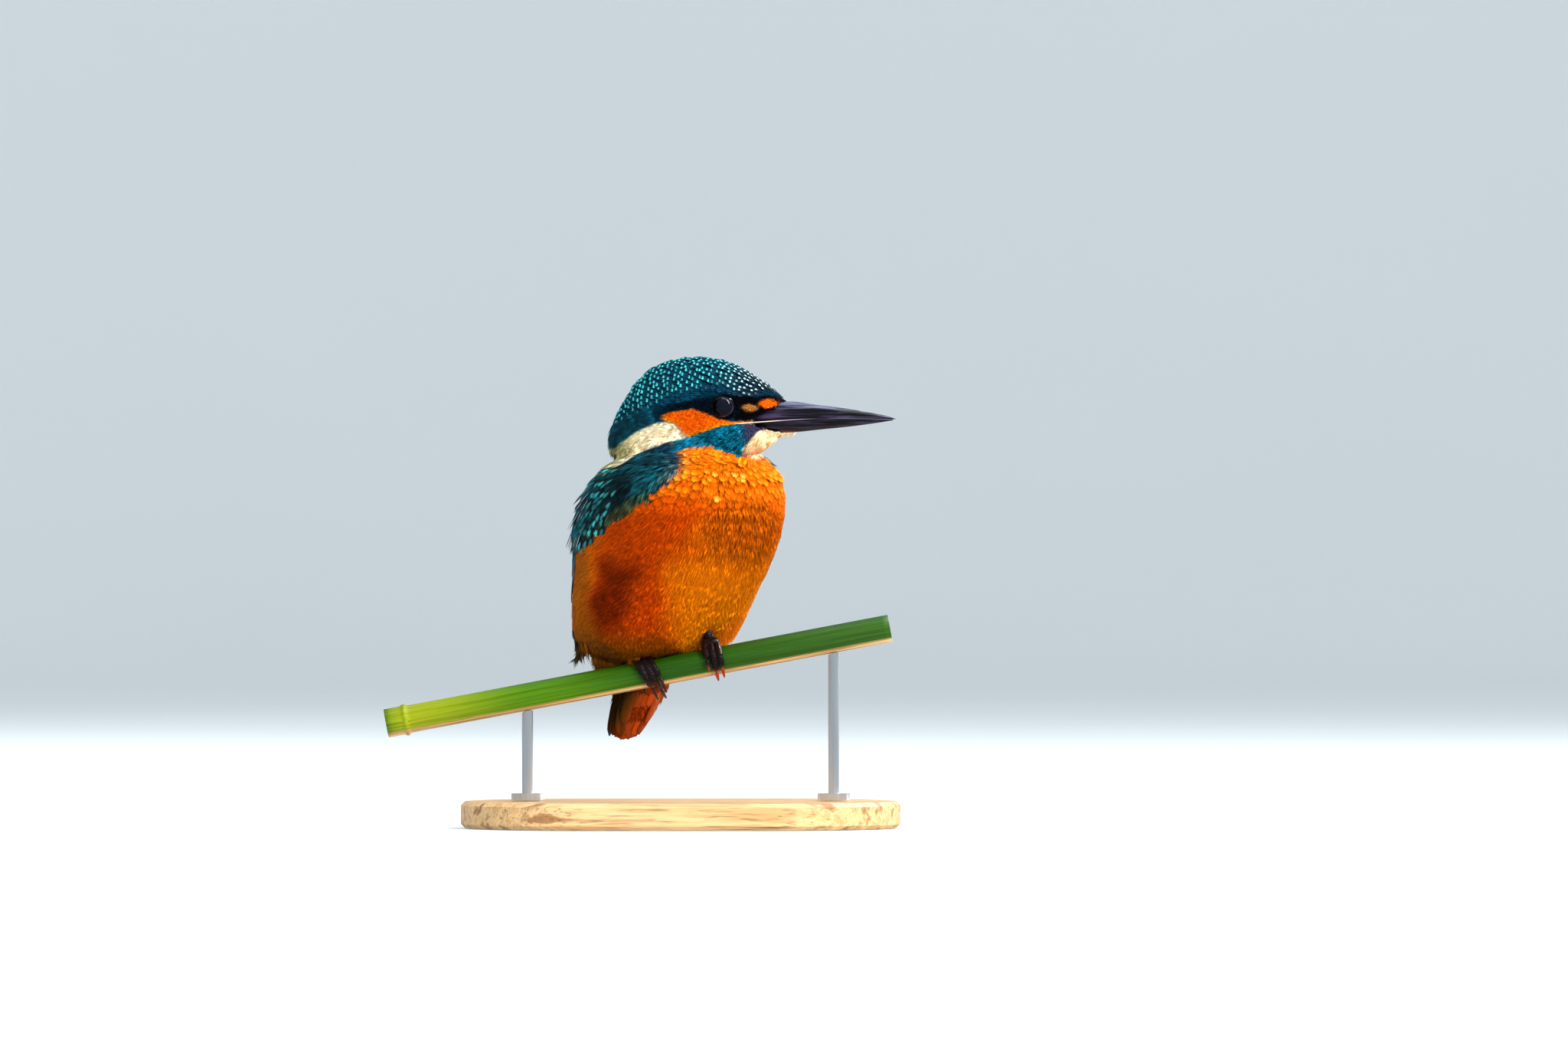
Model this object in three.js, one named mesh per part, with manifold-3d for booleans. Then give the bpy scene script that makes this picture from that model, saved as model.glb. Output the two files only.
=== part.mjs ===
// A male common kingfisher (Alcedo atthis), life size, perched upright on a cut length of reed stem
// that two short rods hold over a flat base. It is a still model: nothing moves.
//
// Millimetres, +Z up. The origin is the centre of the base's underside. +X runs along the reed, which
// climbs towards +X, and -Y is the side that the breast faces. The body stands turned from -Y towards
// +X, and the head is turned further, almost to +X.
//
// Each form is a sphere whose vertices a function places: a loft of rounded sections along an axis.
// Head and trunk are such lofts, and the neck is what joins them, parted from both by thin cuts.
// Wings, tail, bill, eyes and legs are let into them with the same thin gap.

import * as THREE from "three";
import { mergeVertices } from "three/addons/utils/BufferGeometryUtils.js";
import Module from "manifold-3d";

const wasm = await Module();
wasm.setup();

// ---------------------------------------------------------------- driving sizes

const GAP = 0.3; // left between neighbouring solids

const BASE = { length: 132, depth: 78, height: 8, corner: 36, chamfer: 1.2 };
const ROD = { radius: 1.7, reach: 46, flange: 5, flangeHeight: 2 };

const PERCH_HEIGHT = 48; // the reed's axis over the floor, at x = 0
const REED = { radius: 4.15, slope: 10.7, left: -90, right: 64, joint: -84 };

const BODY_TURN = 38; // degrees from -Y towards +X
const HEAD_TURN = 72;
const HEAD_AT = new THREE.Vector3(9.4, -12, PERCH_HEIGHT + 78.7); // on the midline, near the eyes
const CHIN = PERCH_HEIGHT + 64.2; // the head's lowest point
const NECK_FOOT = PERCH_HEIGHT + 57; // height of the cut between neck and trunk

const EYE = { radius: 3.7, ahead: 7.2, up: -0.6, out: 9.5 };
const FEATHER_EDGE = 23.5; // where the culmen leaves the forehead, ahead of HEAD_AT
const BILL_TIP = FEATHER_EDGE + 34.3; // the exposed culmen is 34.3 long

// Where the toes cross the reed's top, how far they slant along it, how far round they reach, and
// which way the bird's midline lies. Their claws' tips stand `lift` off the reed.
const FEET = {
  right: { x: -11.8, slant: 3.8, reach: 20, inward: 1, lift: 3 },
  left: { x: 9.8, slant: 0.4, reach: -8, inward: -1, lift: 0.9 },
};
const TOE_RADIUS = 0.88;
const TOE_PITCH = 1.95;

// ---------------------------------------------------------------- frames

const UP = new THREE.Vector3(0, 0, 1);

// An upright frame at `origin`, facing `turn` degrees from -Y towards +X. point() takes distances
// ahead, to the bird's left and up.
function facing(turn, origin) {
  const a = THREE.MathUtils.degToRad(turn);
  const ahead = new THREE.Vector3(Math.sin(a), -Math.cos(a), 0);
  const left = new THREE.Vector3(Math.cos(a), Math.sin(a), 0);
  const point = (f, l, u) =>
    origin.clone().addScaledVector(ahead, f).addScaledVector(left, l).addScaledVector(UP, u);
  return { ahead, left, point };
}

const body = facing(BODY_TURN, new THREE.Vector3(0, 0, PERCH_HEIGHT));
const head = facing(HEAD_TURN, HEAD_AT);

const slope = THREE.MathUtils.degToRad(REED.slope);
const reedAlong = new THREE.Vector3(Math.cos(slope), 0, Math.sin(slope));
const reedUp = new THREE.Vector3(-Math.sin(slope), 0, Math.cos(slope));
const reedAxis = (x) => new THREE.Vector3(x, 0, PERCH_HEIGHT + x * Math.tan(slope));

// ---------------------------------------------------------------- making and cutting solids

// A closed form. place(along, angle) gives the vertex at 0..1 along the axis and 0..2 pi around it,
// and both ends must close to a point.
function loft(around, along, place) {
  const geometry = new THREE.SphereGeometry(1, around, along);
  const { position, uv } = geometry.attributes;
  for (let i = 0; i < position.count; i++) {
    const p = place(1 - uv.getY(i), (uv.getX(i) % 1) * 2 * Math.PI);
    position.setXYZ(i, p.x, p.y, p.z);
  }
  return geometry;
}

const isEnd = (t) => t < 1e-6 || t > 1 - 1e-6;

// Places from `low` to `high`, closer together towards both ends.
const eased = (low, high, t) => (low + high) / 2 - ((high - low) / 2) * Math.cos(Math.PI * t);

// A smooth curve through stations, which are rows of [place, value, value, ...].
function through(stations) {
  const curve = new THREE.CubicInterpolant(
    stations.map((row) => row[0]),
    stations.flatMap((row) => row.slice(1)),
    stations[0].length - 1,
  );
  return (at) => Array.from(curve.evaluate(at));
}

// cos or sin, made squarer as `power` grows past 2.
const squared = (x, power) => Math.sign(x) * Math.abs(x) ** (2 / power);

// A geometry as a solid with its faces outwards, whichever way its loft ran.
function solid(geometry) {
  const bare = geometry.clone();
  bare.deleteAttribute("normal");
  bare.deleteAttribute("uv");
  const merged = mergeVertices(bare, 1e-4);
  const make = (triVerts) =>
    new wasm.Manifold(
      new wasm.Mesh({
        numProp: 3,
        vertProperties: new Float32Array(merged.attributes.position.array),
        triVerts: new Uint32Array(triVerts),
      }),
    );
  const triangles = Array.from(merged.index.array);
  const made = make(triangles);
  return made.volume() > 0 ? made : make(triangles.reverse());
}

function geometryOf(made) {
  const mesh = made.getMesh();
  const vertices = new Float32Array(mesh.numVert * 3);
  for (let i = 0; i < mesh.numVert; i++)
    vertices.set(mesh.vertProperties.subarray(i * mesh.numProp, i * mesh.numProp + 3), i * 3);
  return new THREE.BufferGeometry()
    .setAttribute("position", new THREE.BufferAttribute(vertices, 3))
    .setIndex(new THREE.BufferAttribute(mesh.triVerts, 1));
}

// The largest body of a solid, without the slivers that a cut can leave.
const largest = (made) => made.decompose().reduce((a, b) => (a.volume() > b.volume() ? a : b));

const cut = (made, ...seats) => largest(seats.reduce((left, seat) => left.subtract(seat), made));

// A block that fills the space between two heights.
function layer(low, high) {
  const block = new THREE.BoxGeometry(300, 300, high - low);
  return solid(block.translate(0, 0, (low + high) / 2));
}

// ---------------------------------------------------------------- trunk and head

// Horizontal sections of the trunk: height over the reed, centre ahead of the reed's axis, and the
// reach to the front, back and side.
const trunkAt = through([
  [-1.5, -15.5, 3, 3, 3],
  [0.6, -14.6, 8, 12, 13.5],
  [3.8, -11.8, 11.6, 17.2, 19.6],
  [7.4, -10.6, 14.2, 21.6, 24.8],
  [11.3, -10.4, 17.2, 22, 27],
  [18, -9.4, 22, 21.4, 28],
  [25, -7.4, 26.4, 22.8, 28.5],
  [32, -4.6, 29.4, 24.6, 29],
  [45, 0.3, 30.5, 28.3, 29.4],
  [55, 2.5, 30, 24.4, 27.4],
  [60, 3.5, 27.5, 22, 24.6],
  [64, 4.4, 22.4, 21, 20.5],
  [69, 5, 14, 17, 13.5],
  [73, 5, 4, 4, 4],
]);
const TRUNK = { bottom: -1.5, top: 73, power: 2.35 };

// A point on the trunk, or `grow` outside it. Angle 0 is ahead and a quarter turn is the bird's right.
function trunkPoint(height, angle, grow = 0) {
  const [mid, front, back, side] = trunkAt(height);
  const c = squared(Math.cos(angle), TRUNK.power);
  const s = squared(Math.sin(angle), TRUNK.power);
  const reach = c > 0 ? front : back;
  return body.point(mid + (reach + grow) * c, -(side + grow) * s, height);
}

const trunkForm = loft(26, 20, (t, angle) => {
  const height = eased(TRUNK.bottom, TRUNK.top, t);
  return isEnd(t) ? body.point(trunkAt(height)[0], 0, height) : trunkPoint(height, angle);
});

// Upright sections of the head from nape to forehead: distance ahead, centre height, and the reach
// up, down and to each side.
const headAt = through([
  [-31.6, -11.5, 1, 1, 2],
  [-30.2, -10.4, 4.8, 4.6, 6.5],
  [-27.6, -8, 8, 7.6, 9.2],
  [-24, -5.6, 11, 9.8, 11.6],
  [-19, -3.4, 14.2, 11.6, 13.3],
  [-12.7, -2, 15.6, 12.5, 14.4],
  [-1, -1.1, 15.5, 14, 14],
  [7, -1.8, 14.3, 14.6, 12.2],
  [14, -2.5, 11.5, 12.6, 9],
  [19.5, -3.2, 8.4, 8, 6.1],
  [24, -3.7, 4.6, 4.7, 4.5],
  [28.5, -3.9, 1, 1, 1.5],
]);
const HEAD = { nape: -31.6, front: 28.5, power: 2.15 };

const headForm = (grow = 0) =>
  loft(24, 18, (t, angle) => {
    const ahead = eased(HEAD.nape - grow, HEAD.front + grow, t);
    const [mid, up, down, side] = headAt(ahead);
    const c = squared(Math.cos(angle), HEAD.power);
    const s = squared(Math.sin(angle), HEAD.power);
    const reach = (c > 0 ? up : down) + grow;
    return isEnd(t) ? head.point(ahead, 0, mid) : head.point(ahead, (side + grow) * s, mid + reach * c);
  });

// The ruff of the neck, which fills the angle between head and shoulders.
const NECK = { ahead: 4, left: -2, up: 65, length: 21, width: 18, height: 11.5 };
const neckForm = new THREE.SphereGeometry(1, 20, 14)
  .rotateX(Math.PI / 2)
  .scale(NECK.width, NECK.length, NECK.height)
  .rotateZ(THREE.MathUtils.degToRad(BODY_TURN))
  .translate(...body.point(NECK.ahead, NECK.left, NECK.up));

// ---------------------------------------------------------------- wings

// Folded wing: a plate bent round the trunk, from the shoulder back and down to the tip by the tail.
// Height, degrees round the trunk from the front to its lower edge and to its upper edge, thickness.
const wingAt = through([
  [2, 141, 146, 0.8],
  [8, 138, 158, 1.8],
  [16, 135, 165, 2],
  [26, 129, 166, 2],
  [34, 119, 160, 2.2],
  [40, 95, 153, 2.6],
  [48, 71, 143, 2.8],
  [56, 55, 130, 3],
  [62, 48, 112, 2.4],
  [66.5, 60, 84, 0.8],
]);
const WING = { tip: 2, shoulder: 66.5 };
const WING_DEPTH = 1.4; // how deep the plate is let into the trunk
const WING_CLEAR = 9; // below this height the wing tip hangs free of the trunk
const WINGS = {
  right: { side: 1, setBack: 0 },
  left: { side: -1, setBack: 13 }, // the breast is turned with the head, over the front of this wing
};

// `grow` thickens the plate all round.
function wingForm({ side, setBack }, grow = 0) {
  return loft(10, 16, (t, angle) => {
    const height = eased(WING.tip - grow, WING.shoulder + grow, t);
    const [front, upper, thick] = wingAt(height);
    const lower = Math.min(front + setBack, upper - 4);
    const reach = trunkAt(Math.max(height, WING_CLEAR))[3];
    const spare = THREE.MathUtils.radToDeg(grow / reach);
    const half = isEnd(t) ? 0 : (upper - lower) / 2 + spare;
    const round = THREE.MathUtils.degToRad((upper + lower) / 2 - half * Math.cos(angle));
    const swell = isEnd(t) ? 0 : (thick / 2 + grow) * Math.sin(angle);
    const p = trunkPoint(Math.max(height, WING_CLEAR), side * round, (thick - WING_DEPTH) / 2 + swell);
    p.z = PERCH_HEIGHT + height;
    return p;
  });
}

// ---------------------------------------------------------------- tail and undertail

// The tail's blade runs from the rump down behind the reed.
const TAIL_ROOT = body.point(-18.5, 0.8, 8);
const TAIL_TIP = body.point(-30.4, 2, -22.2);
const tailAlong = TAIL_TIP.clone().sub(TAIL_ROOT);
const tailAcross = body.left.clone().negate();
const tailFront = tailAcross.clone().cross(tailAlong).normalize();

const onTail = (share, across, front) =>
  TAIL_ROOT.clone()
    .addScaledVector(tailAlong, share)
    .addScaledVector(tailAcross, across)
    .addScaledVector(tailFront, front);

// Share of the tail's length, half width and half thickness.
const tailAt = through([
  [0, 5, 0.8],
  [0.35, 8.4, 1.2],
  [0.6, 8.2, 1],
  [0.85, 6.6, 0.7],
  [0.96, 5, 0.45],
  [1, 3.4, 0.35],
]);

const tailForm = (grow = 0) =>
  loft(14, 10, (t, angle) => {
    const share = eased(0, 1, t);
    const [half, thick] = tailAt(share);
    const flesh = isEnd(t) ? 0 : 1;
    return onTail(
      share + (isEnd(t) ? Math.sign(share - 0.5) * grow * 0.03 : 0),
      flesh * (half + grow) * Math.sin(angle),
      flesh * (thick + grow) * Math.cos(angle),
    );
  });

// Undertail coverts: a soft wedge of feathers from the vent down the front of the tail.
// Share of the tail's length, place in front of it, half width and half thickness.
const covertAt = through([
  [-0.1, 5, 6, 3],
  [0.15, 4.6, 9, 4.2],
  [0.4, 3.4, 9.3, 3.4],
  [0.62, 2.2, 8, 2.2],
  [0.8, 1.5, 5.6, 1.2],
  [0.9, 1.1, 3, 0.6],
]);
const COVERT_SIDE = 1.2; // they lie a little to the bird's left of the tail feathers

const covertForm = loft(16, 10, (t, angle) => {
  const share = eased(-0.1, 0.9, t);
  const [front, half, thick] = covertAt(share);
  const flesh = isEnd(t) ? 0 : 1;
  const across = flesh * half * Math.sin(angle) - COVERT_SIDE * share;
  return onTail(share, across, front + flesh * thick * Math.cos(angle));
});

// ---------------------------------------------------------------- bill and eyes

// Height of the line where the halves of the bill meet.
const gapeLine = through([
  [9, -5.6],
  [17, -4.95],
  [32, -4.05],
  [46, -4.1],
  [BILL_TIP, -4.3],
]);

// Upper half: distance ahead, height of the culmen, half width at the gape line.
const upperAt = through([
  [11, -2.4, 8.6],
  [17, 0, 6.9],
  [FEATHER_EDGE, 1.1, 4.9],
  [33.8, 0, 3.4],
  [42.8, -1.1, 2.5],
  [51.7, -2.6, 1.35],
  [56, -3.5, 0.7],
  [BILL_TIP, -4.1, 0.3],
]);

// Lower half: distance ahead, height of the underside, half width at the gape line.
const lowerAt = through([
  [9, -7, 8.8],
  [16, -8.2, 6.9],
  [26.7, -8.05, 4],
  [33.8, -7.35, 3.2],
  [42.8, -6.5, 2.4],
  [51.7, -5.4, 1.3],
  [BILL_TIP - 0.8, -4.6, 0.3],
]);
const UPPER = { at: upperAt, start: 11, end: BILL_TIP, sense: 1 };
const LOWER = { at: lowerAt, start: 9, end: BILL_TIP - 0.8, sense: -1 };

// Half of the bill: flat along the gape line and a rounded ridge on the other side. `grow` swells it
// all round, for its seat in the head.
function billForm(half, grow = 0) {
  return loft(14, 14, (t, angle) => {
    const ahead = eased(half.start - 3 * grow, half.end + grow, t);
    const [edge, wide] = half.at(ahead);
    const line = gapeLine(ahead)[0] + (half.sense * GAP) / 2;
    const c = Math.cos(angle);
    const ridge = line + (edge - line) * Math.max(0, c) ** 1.1;
    const swollen = ridge + half.sense * grow * (c > 0.01 ? 1 : -1);
    const left = (wide + 2 * grow) * Math.sin(angle);
    return isEnd(t) ? head.point(ahead, 0, line) : head.point(ahead, left, swollen);
  });
}

// side is 1 for the bird's left eye and -1 for its right.
function eyeForm(side, grow = 0) {
  const centre = head.point(EYE.ahead, side * EYE.out, EYE.up);
  return new THREE.SphereGeometry(EYE.radius + grow, 12, 9).translate(...centre);
}

// ---------------------------------------------------------------- legs, toes and claws

// A point beside the reed: x along it, degrees from its top towards -Y, and distance from its axis.
function roundReed(x, degrees, radius) {
  const a = THREE.MathUtils.degToRad(degrees);
  return reedAxis(x)
    .addScaledVector(reedUp, radius * Math.cos(a))
    .add(new THREE.Vector3(0, -radius * Math.sin(a), 0));
}

// A round limb along a curve, with domed ends. radius(t) swells and tapers it.
function limb(curve, radius, around, along) {
  const steps = 60;
  const frames = curve.computeFrenetFrames(steps, false);
  const length = curve.getLength();
  return loft(around, along, (t, angle) => {
    const at = eased(0, 1, t);
    const full = radius(at);
    const inset = Math.max(0, 1 - (Math.min(at, 1 - at) * length) / full);
    const r = isEnd(t) ? 0 : full * Math.sqrt(1 - inset ** 2);
    const i = Math.round(at * steps);
    return curve
      .getPointAt(at)
      .addScaledVector(frames.normals[i], r * Math.cos(angle))
      .addScaledVector(frames.binormals[i], r * Math.sin(angle));
  });
}

const TOE_RIDE = REED.radius + GAP + TOE_RADIUS; // from the reed's axis to the toes' middles

// Three toes go forward side by side and one goes back. How many pitches each lies towards the
// midline, the degrees round the reed from which it starts and to which it reaches, and its girth.
const TOES = {
  inner: { aside: 1, from: 14, to: 84, girth: 0.9 },
  middle: { aside: 0, from: 14, to: 132, girth: 1 },
  outer: { aside: -1, from: 14, to: 118, girth: 0.96 },
  hind: { aside: 0, from: -16, to: -98, girth: 0.95 },
};
const CLAW_ARC = 34; // degrees round the reed
const FULL_REACH = 120; // degrees over which a foot's slant is measured

// The path of a toe or claw, between two angles. `lift` moves its far end off the reed.
function toePath(foot, toe, from, to, lift = 0) {
  const points = [0, 1, 2, 3, 4, 5].map((step) => {
    const share = step / 5;
    const degrees = THREE.MathUtils.lerp(from, to, share);
    const slant = (foot.slant * Math.max(0, degrees)) / FULL_REACH;
    const x = foot.x + foot.inward * toe.aside * TOE_PITCH + slant;
    return roundReed(x, degrees, TOE_RIDE + lift * share);
  });
  return new THREE.CatmullRomCurve3(points);
}

const toeEnd = (foot, toe) => toe.to + (toe.to > 0 ? foot.reach : 0);

function toeForm(foot, toe, grow = 0) {
  const pads = (t) => TOE_RADIUS * toe.girth * (0.94 - 0.1 * t - 0.06 * Math.cos(6 * Math.PI * t)) + grow;
  return limb(toePath(foot, toe, toe.from, toeEnd(foot, toe)), pads, 7, 9);
}

function clawForm(foot, toe) {
  const sense = Math.sign(toe.to);
  const start = toeEnd(foot, toe) + sense * 4;
  const path = toePath(foot, toe, start, start + sense * CLAW_ARC, foot.lift);
  return limb(path, (t) => 0.66 * (1 - 0.72 * t), 6, 6);
}

// Knuckle: the pad on top of the reed from which the toes spread.
function knuckleForm(foot, grow = 0) {
  const width = TOE_PITCH * 1.4 + grow;
  const height = 1.5 + grow;
  return loft(10, 6, (t, angle) => {
    const degrees = eased(-30, 30, t);
    const swell = Math.sin(Math.PI * t) ** 0.5;
    const x = foot.x + width * swell * Math.sin(angle);
    const lifted = TOE_RIDE + 0.6 + (isEnd(t) ? 0 : height * swell * Math.cos(angle));
    return roundReed(x, degrees, lifted);
  });
}

// Shank: the short scaled leg from the knuckle up and back into the belly.
function shankForm(foot, grow = 0) {
  const low = roundReed(foot.x, 0, TOE_RIDE + 0.6);
  const high = low.clone().addScaledVector(body.ahead, -4.2).addScaledVector(UP, 7.5);
  const bend = low.clone().lerp(high, 0.4).addScaledVector(UP, 0.9);
  const curve = new THREE.CatmullRomCurve3([low, bend, high]);
  return limb(curve, (t) => 1.7 - 0.3 * Math.sin(Math.PI * t) + grow, 8, 6);
}

// ---------------------------------------------------------------- reed and stand

// Reed stem with one raised joint, cut square at both ends.
function reedForm(grow = 0) {
  const along = (x) => x / Math.cos(slope);
  const { radius, joint, left, right } = REED;
  const ring = [
    [0, along(left)],
    [radius + grow, along(left)],
    [radius + grow, along(joint) - 1.8],
    [radius + 0.7 + grow, along(joint) - 0.6],
    [radius + 0.7 + grow, along(joint) + 0.6],
    [radius + grow, along(joint) + 1.8],
    [radius + grow, along(right)],
    [0, along(right)],
  ].map(([r, height]) => new THREE.Vector2(r, height));
  const turn = new THREE.Quaternion().setFromUnitVectors(new THREE.Vector3(0, 1, 0), reedAlong);
  return new THREE.LatheGeometry(ring, 20).applyQuaternion(turn).translate(0, 0, PERCH_HEIGHT);
}

function baseForm() {
  const { length, depth, height, corner, chamfer } = BASE;
  const x = length / 2 - chamfer;
  const y = depth / 2 - chamfer;
  const outline = new THREE.Shape()
    .moveTo(corner - x, -y)
    .absarc(x - corner, corner - y, corner, -Math.PI / 2, 0)
    .absarc(x - corner, y - corner, corner, 0, Math.PI / 2)
    .absarc(corner - x, y - corner, corner, Math.PI / 2, Math.PI)
    .absarc(corner - x, corner - y, corner, Math.PI, Math.PI * 1.5);
  return new THREE.ExtrudeGeometry(outline, {
    depth: height - 2 * chamfer,
    curveSegments: 5,
    bevelThickness: chamfer,
    bevelSize: chamfer,
    bevelSegments: 1,
  }).translate(0, 0, chamfer);
}

// An upright rod with a round flange at its foot, reaching up into the reed's underside.
function rodForm(x) {
  const bottom = BASE.height + GAP;
  const top = reedAxis(x).z;
  const ring = [
    [0, bottom],
    [ROD.flange, bottom],
    [ROD.flange, bottom + ROD.flangeHeight],
    [ROD.radius, bottom + ROD.flangeHeight],
    [ROD.radius, top],
    [0, top],
  ].map(([r, z]) => new THREE.Vector2(r, z));
  return new THREE.LatheGeometry(ring, 14).rotateX(Math.PI / 2).translate(x, 0, 0);
}

// ---------------------------------------------------------------- assembly

const reedSeat = solid(reedForm(GAP));
const tailSeat = solid(tailForm(GAP));
const billSeats = [solid(billForm(UPPER, GAP)), solid(billForm(LOWER, GAP))];

const eyes = { right: -1, left: 1 };

const eyeSeats = Object.values(eyes).map((side) => solid(eyeForm(side, GAP)));
const wingSeats = Object.values(WINGS).map((wing) => solid(wingForm(wing, GAP)));
const legSeats = Object.values(FEET).flatMap((foot) => [
  solid(shankForm(foot, GAP)),
  solid(knuckleForm(foot, GAP)),
  ...Object.values(TOES).map((toe) => solid(toeForm(foot, toe, GAP))),
]);

const shoulders = solid(trunkForm).add(solid(neckForm));
const headSeat = solid(headForm(GAP)).intersect(layer(CHIN - GAP, 300));

// Feathers are matt, the bill and claws are glossy horn, and the legs' scales shine a little.
const finish = (color, roughness, metalness = 0) =>
  new THREE.MeshStandardMaterial({ color, roughness, metalness });
const CROWN = finish(0x0a3a4c, 0.6);
const ORANGE = finish(0xd07418, 0.8);
const CREAM = finish(0xe8d8b0, 0.8);
const WING_BLUE = finish(0x0d4a5c, 0.6);
const RUFOUS = finish(0x9a4410, 0.8);
const HORN = finish(0x16151c, 0.35);
const EYE_DARK = finish(0x060506, 0.08);
const LEG_DARK = finish(0x3a140c, 0.4);
const REED_GREEN = finish(0x4c8a30, 0.5);
const WOOD = finish(0x4a3222, 0.5);
const STEEL = finish(0xb8bcc0, 0.3, 1);

const kingfisher = new THREE.Group();

function put(name, made, material) {
  const mesh = new THREE.Mesh(geometryOf(made), material);
  mesh.name = name;
  kingfisher.add(mesh);
}

put(
  "head",
  cut(solid(headForm()).intersect(layer(CHIN, 300)), ...billSeats, ...eyeSeats, ...wingSeats),
  CROWN,
);
put("neck", cut(shoulders.intersect(layer(NECK_FOOT, 300)), headSeat, ...wingSeats), CREAM);
put(
  "trunk",
  cut(shoulders.intersect(layer(0, NECK_FOOT - GAP)), ...wingSeats, tailSeat, reedSeat, ...legSeats),
  ORANGE,
);

put("bill_upper", solid(billForm(UPPER)), HORN);
put("bill_lower", solid(billForm(LOWER)), HORN);
for (const [name, side] of Object.entries(eyes)) put(`eye_${name}`, solid(eyeForm(side)), EYE_DARK);
for (const [name, wing] of Object.entries(WINGS))
  put(`wing_${name}`, cut(solid(wingForm(wing)), reedSeat, tailSeat), WING_BLUE);

const trunkSeat = solid(trunkForm.clone().translate(0, 0, -GAP));
put("tail", cut(solid(tailForm()), reedSeat), RUFOUS);
put("undertail", cut(solid(covertForm), trunkSeat, tailSeat, reedSeat, ...wingSeats, ...legSeats), RUFOUS);

for (const [name, foot] of Object.entries(FEET)) {
  const leg = solid(shankForm(foot)).add(solid(knuckleForm(foot)));
  const toeSeats = Object.values(TOES).map((toe) => solid(toeForm(foot, toe, GAP * 0.7)));
  put(`leg_${name}`, cut(leg, reedSeat, ...toeSeats), LEG_DARK);
  for (const [toeName, toe] of Object.entries(TOES)) {
    put(`toe_${name}_${toeName}`, solid(toeForm(foot, toe)), LEG_DARK);
    put(`claw_${name}_${toeName}`, solid(clawForm(foot, toe)), HORN);
  }
}

put("perch", solid(reedForm()), REED_GREEN);
put("stand_base", solid(baseForm()), WOOD);
for (const [name, x] of Object.entries({ left: -ROD.reach, right: ROD.reach }))
  put(`stand_rod_${name}`, cut(solid(rodForm(x)), reedSeat), STEEL);

export default kingfisher;
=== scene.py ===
import math

import bmesh
import bpy
import numpy as np
from mathutils import Matrix
from mathutils import Vector
from mathutils import noise
from mathutils.bvhtree import BVHTree


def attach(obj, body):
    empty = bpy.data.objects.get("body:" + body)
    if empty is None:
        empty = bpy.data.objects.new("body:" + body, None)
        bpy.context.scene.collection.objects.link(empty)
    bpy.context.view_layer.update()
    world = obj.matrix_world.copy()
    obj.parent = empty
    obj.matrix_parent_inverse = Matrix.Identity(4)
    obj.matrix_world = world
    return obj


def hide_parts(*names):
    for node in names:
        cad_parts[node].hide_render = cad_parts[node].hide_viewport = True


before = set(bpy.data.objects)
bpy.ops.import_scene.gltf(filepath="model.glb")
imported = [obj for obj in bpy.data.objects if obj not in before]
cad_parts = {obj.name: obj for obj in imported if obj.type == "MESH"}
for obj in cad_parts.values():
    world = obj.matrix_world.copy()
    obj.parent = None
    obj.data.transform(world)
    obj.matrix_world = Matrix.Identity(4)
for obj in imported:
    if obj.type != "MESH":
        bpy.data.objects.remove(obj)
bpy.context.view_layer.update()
MM = 0.001

# ------------------------------------------------------------------ the stage
# A round white dish of card stands under and behind the model, with soft lamps hung round it.
# The camera has a long lens, stands nearly four metres off and looks level at the bird.

SUBJECT = Vector((0.03105, 0, 0.0906))
CAMERA_BACK = 3.925
CAMERA_LENS = 300
CAMERA_GATE = 36
DISH_RADIUS = 5.0
DISH_CURVE = 1.4
DISH_STEPS = 12
DISH_RIM = 4.5
DISH_LEVEL = -0.0002


def node(tree, kind, links=None, **settings):
    """Adds a node; links holds a value or another node's output for each named or numbered input."""
    made = tree.nodes.new(kind)
    for key, value in settings.items():
        setattr(made, key, value)
    for key, value in (links or {}).items():
        if isinstance(value, bpy.types.NodeSocket):
            tree.links.new(value, made.inputs[key])
        else:
            made.inputs[key].default_value = value
    return made


def coloured(tones):
    """Tones on a 0 to 255 scale as linear colours with alpha."""
    share = np.clip(tones / 255, 0, 1)
    linear = np.where(share > 0.04045, ((share + 0.055) / 1.055) ** 2.4, share / 12.92)
    return np.column_stack((linear, np.ones(len(linear))))


def paint(red, green, blue):
    """A colour on a 0 to 255 scale, as the shader wants it."""
    return tuple(coloured(np.array([(red, green, blue)]))[0].tolist())


def finish(name, rough, shine, **sockets):
    """A new material with its Principled shader's own sockets set."""
    material = bpy.data.materials.new(name)
    material.use_nodes = True
    shader = material.node_tree.nodes["Principled BSDF"]
    shader.inputs["Roughness"].default_value = rough
    shader.inputs["Specular IOR Level"].default_value = shine
    for key, value in sockets.items():
        shader.inputs[key.replace("_", " ").title()].default_value = value
    return material, material.node_tree, shader


def dressed(tree, shader, colour, height=None, distance=0.0, strength=1.0):
    """Gives a shader its colour and, where a height is given, its fine relief."""
    tree.links.new(colour, shader.inputs["Base Color"])
    if height is not None:
        links = {"Height": height, "Distance": distance, "Strength": strength}
        relief = node(tree, "ShaderNodeBump", links)
        tree.links.new(relief.outputs["Normal"], shader.inputs["Normal"])


def place_of(tree):
    return node(tree, "ShaderNodeTexCoord").outputs["Object"]


def noise_of(tree, place, scale=1.0, detail=2.0, roughness=0.5):
    """A soft random shade on a place."""
    links = {0: place, "Scale": scale, "Detail": detail, "Roughness": roughness}
    return node(tree, "ShaderNodeTexNoise", links).outputs["Fac"]


def blended(tree, share, one, other):
    """One colour turned into another by a share."""
    return node(tree, "ShaderNodeMix", {0: share, 6: one, 7: other}, data_type="RGBA").outputs[2]


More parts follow.
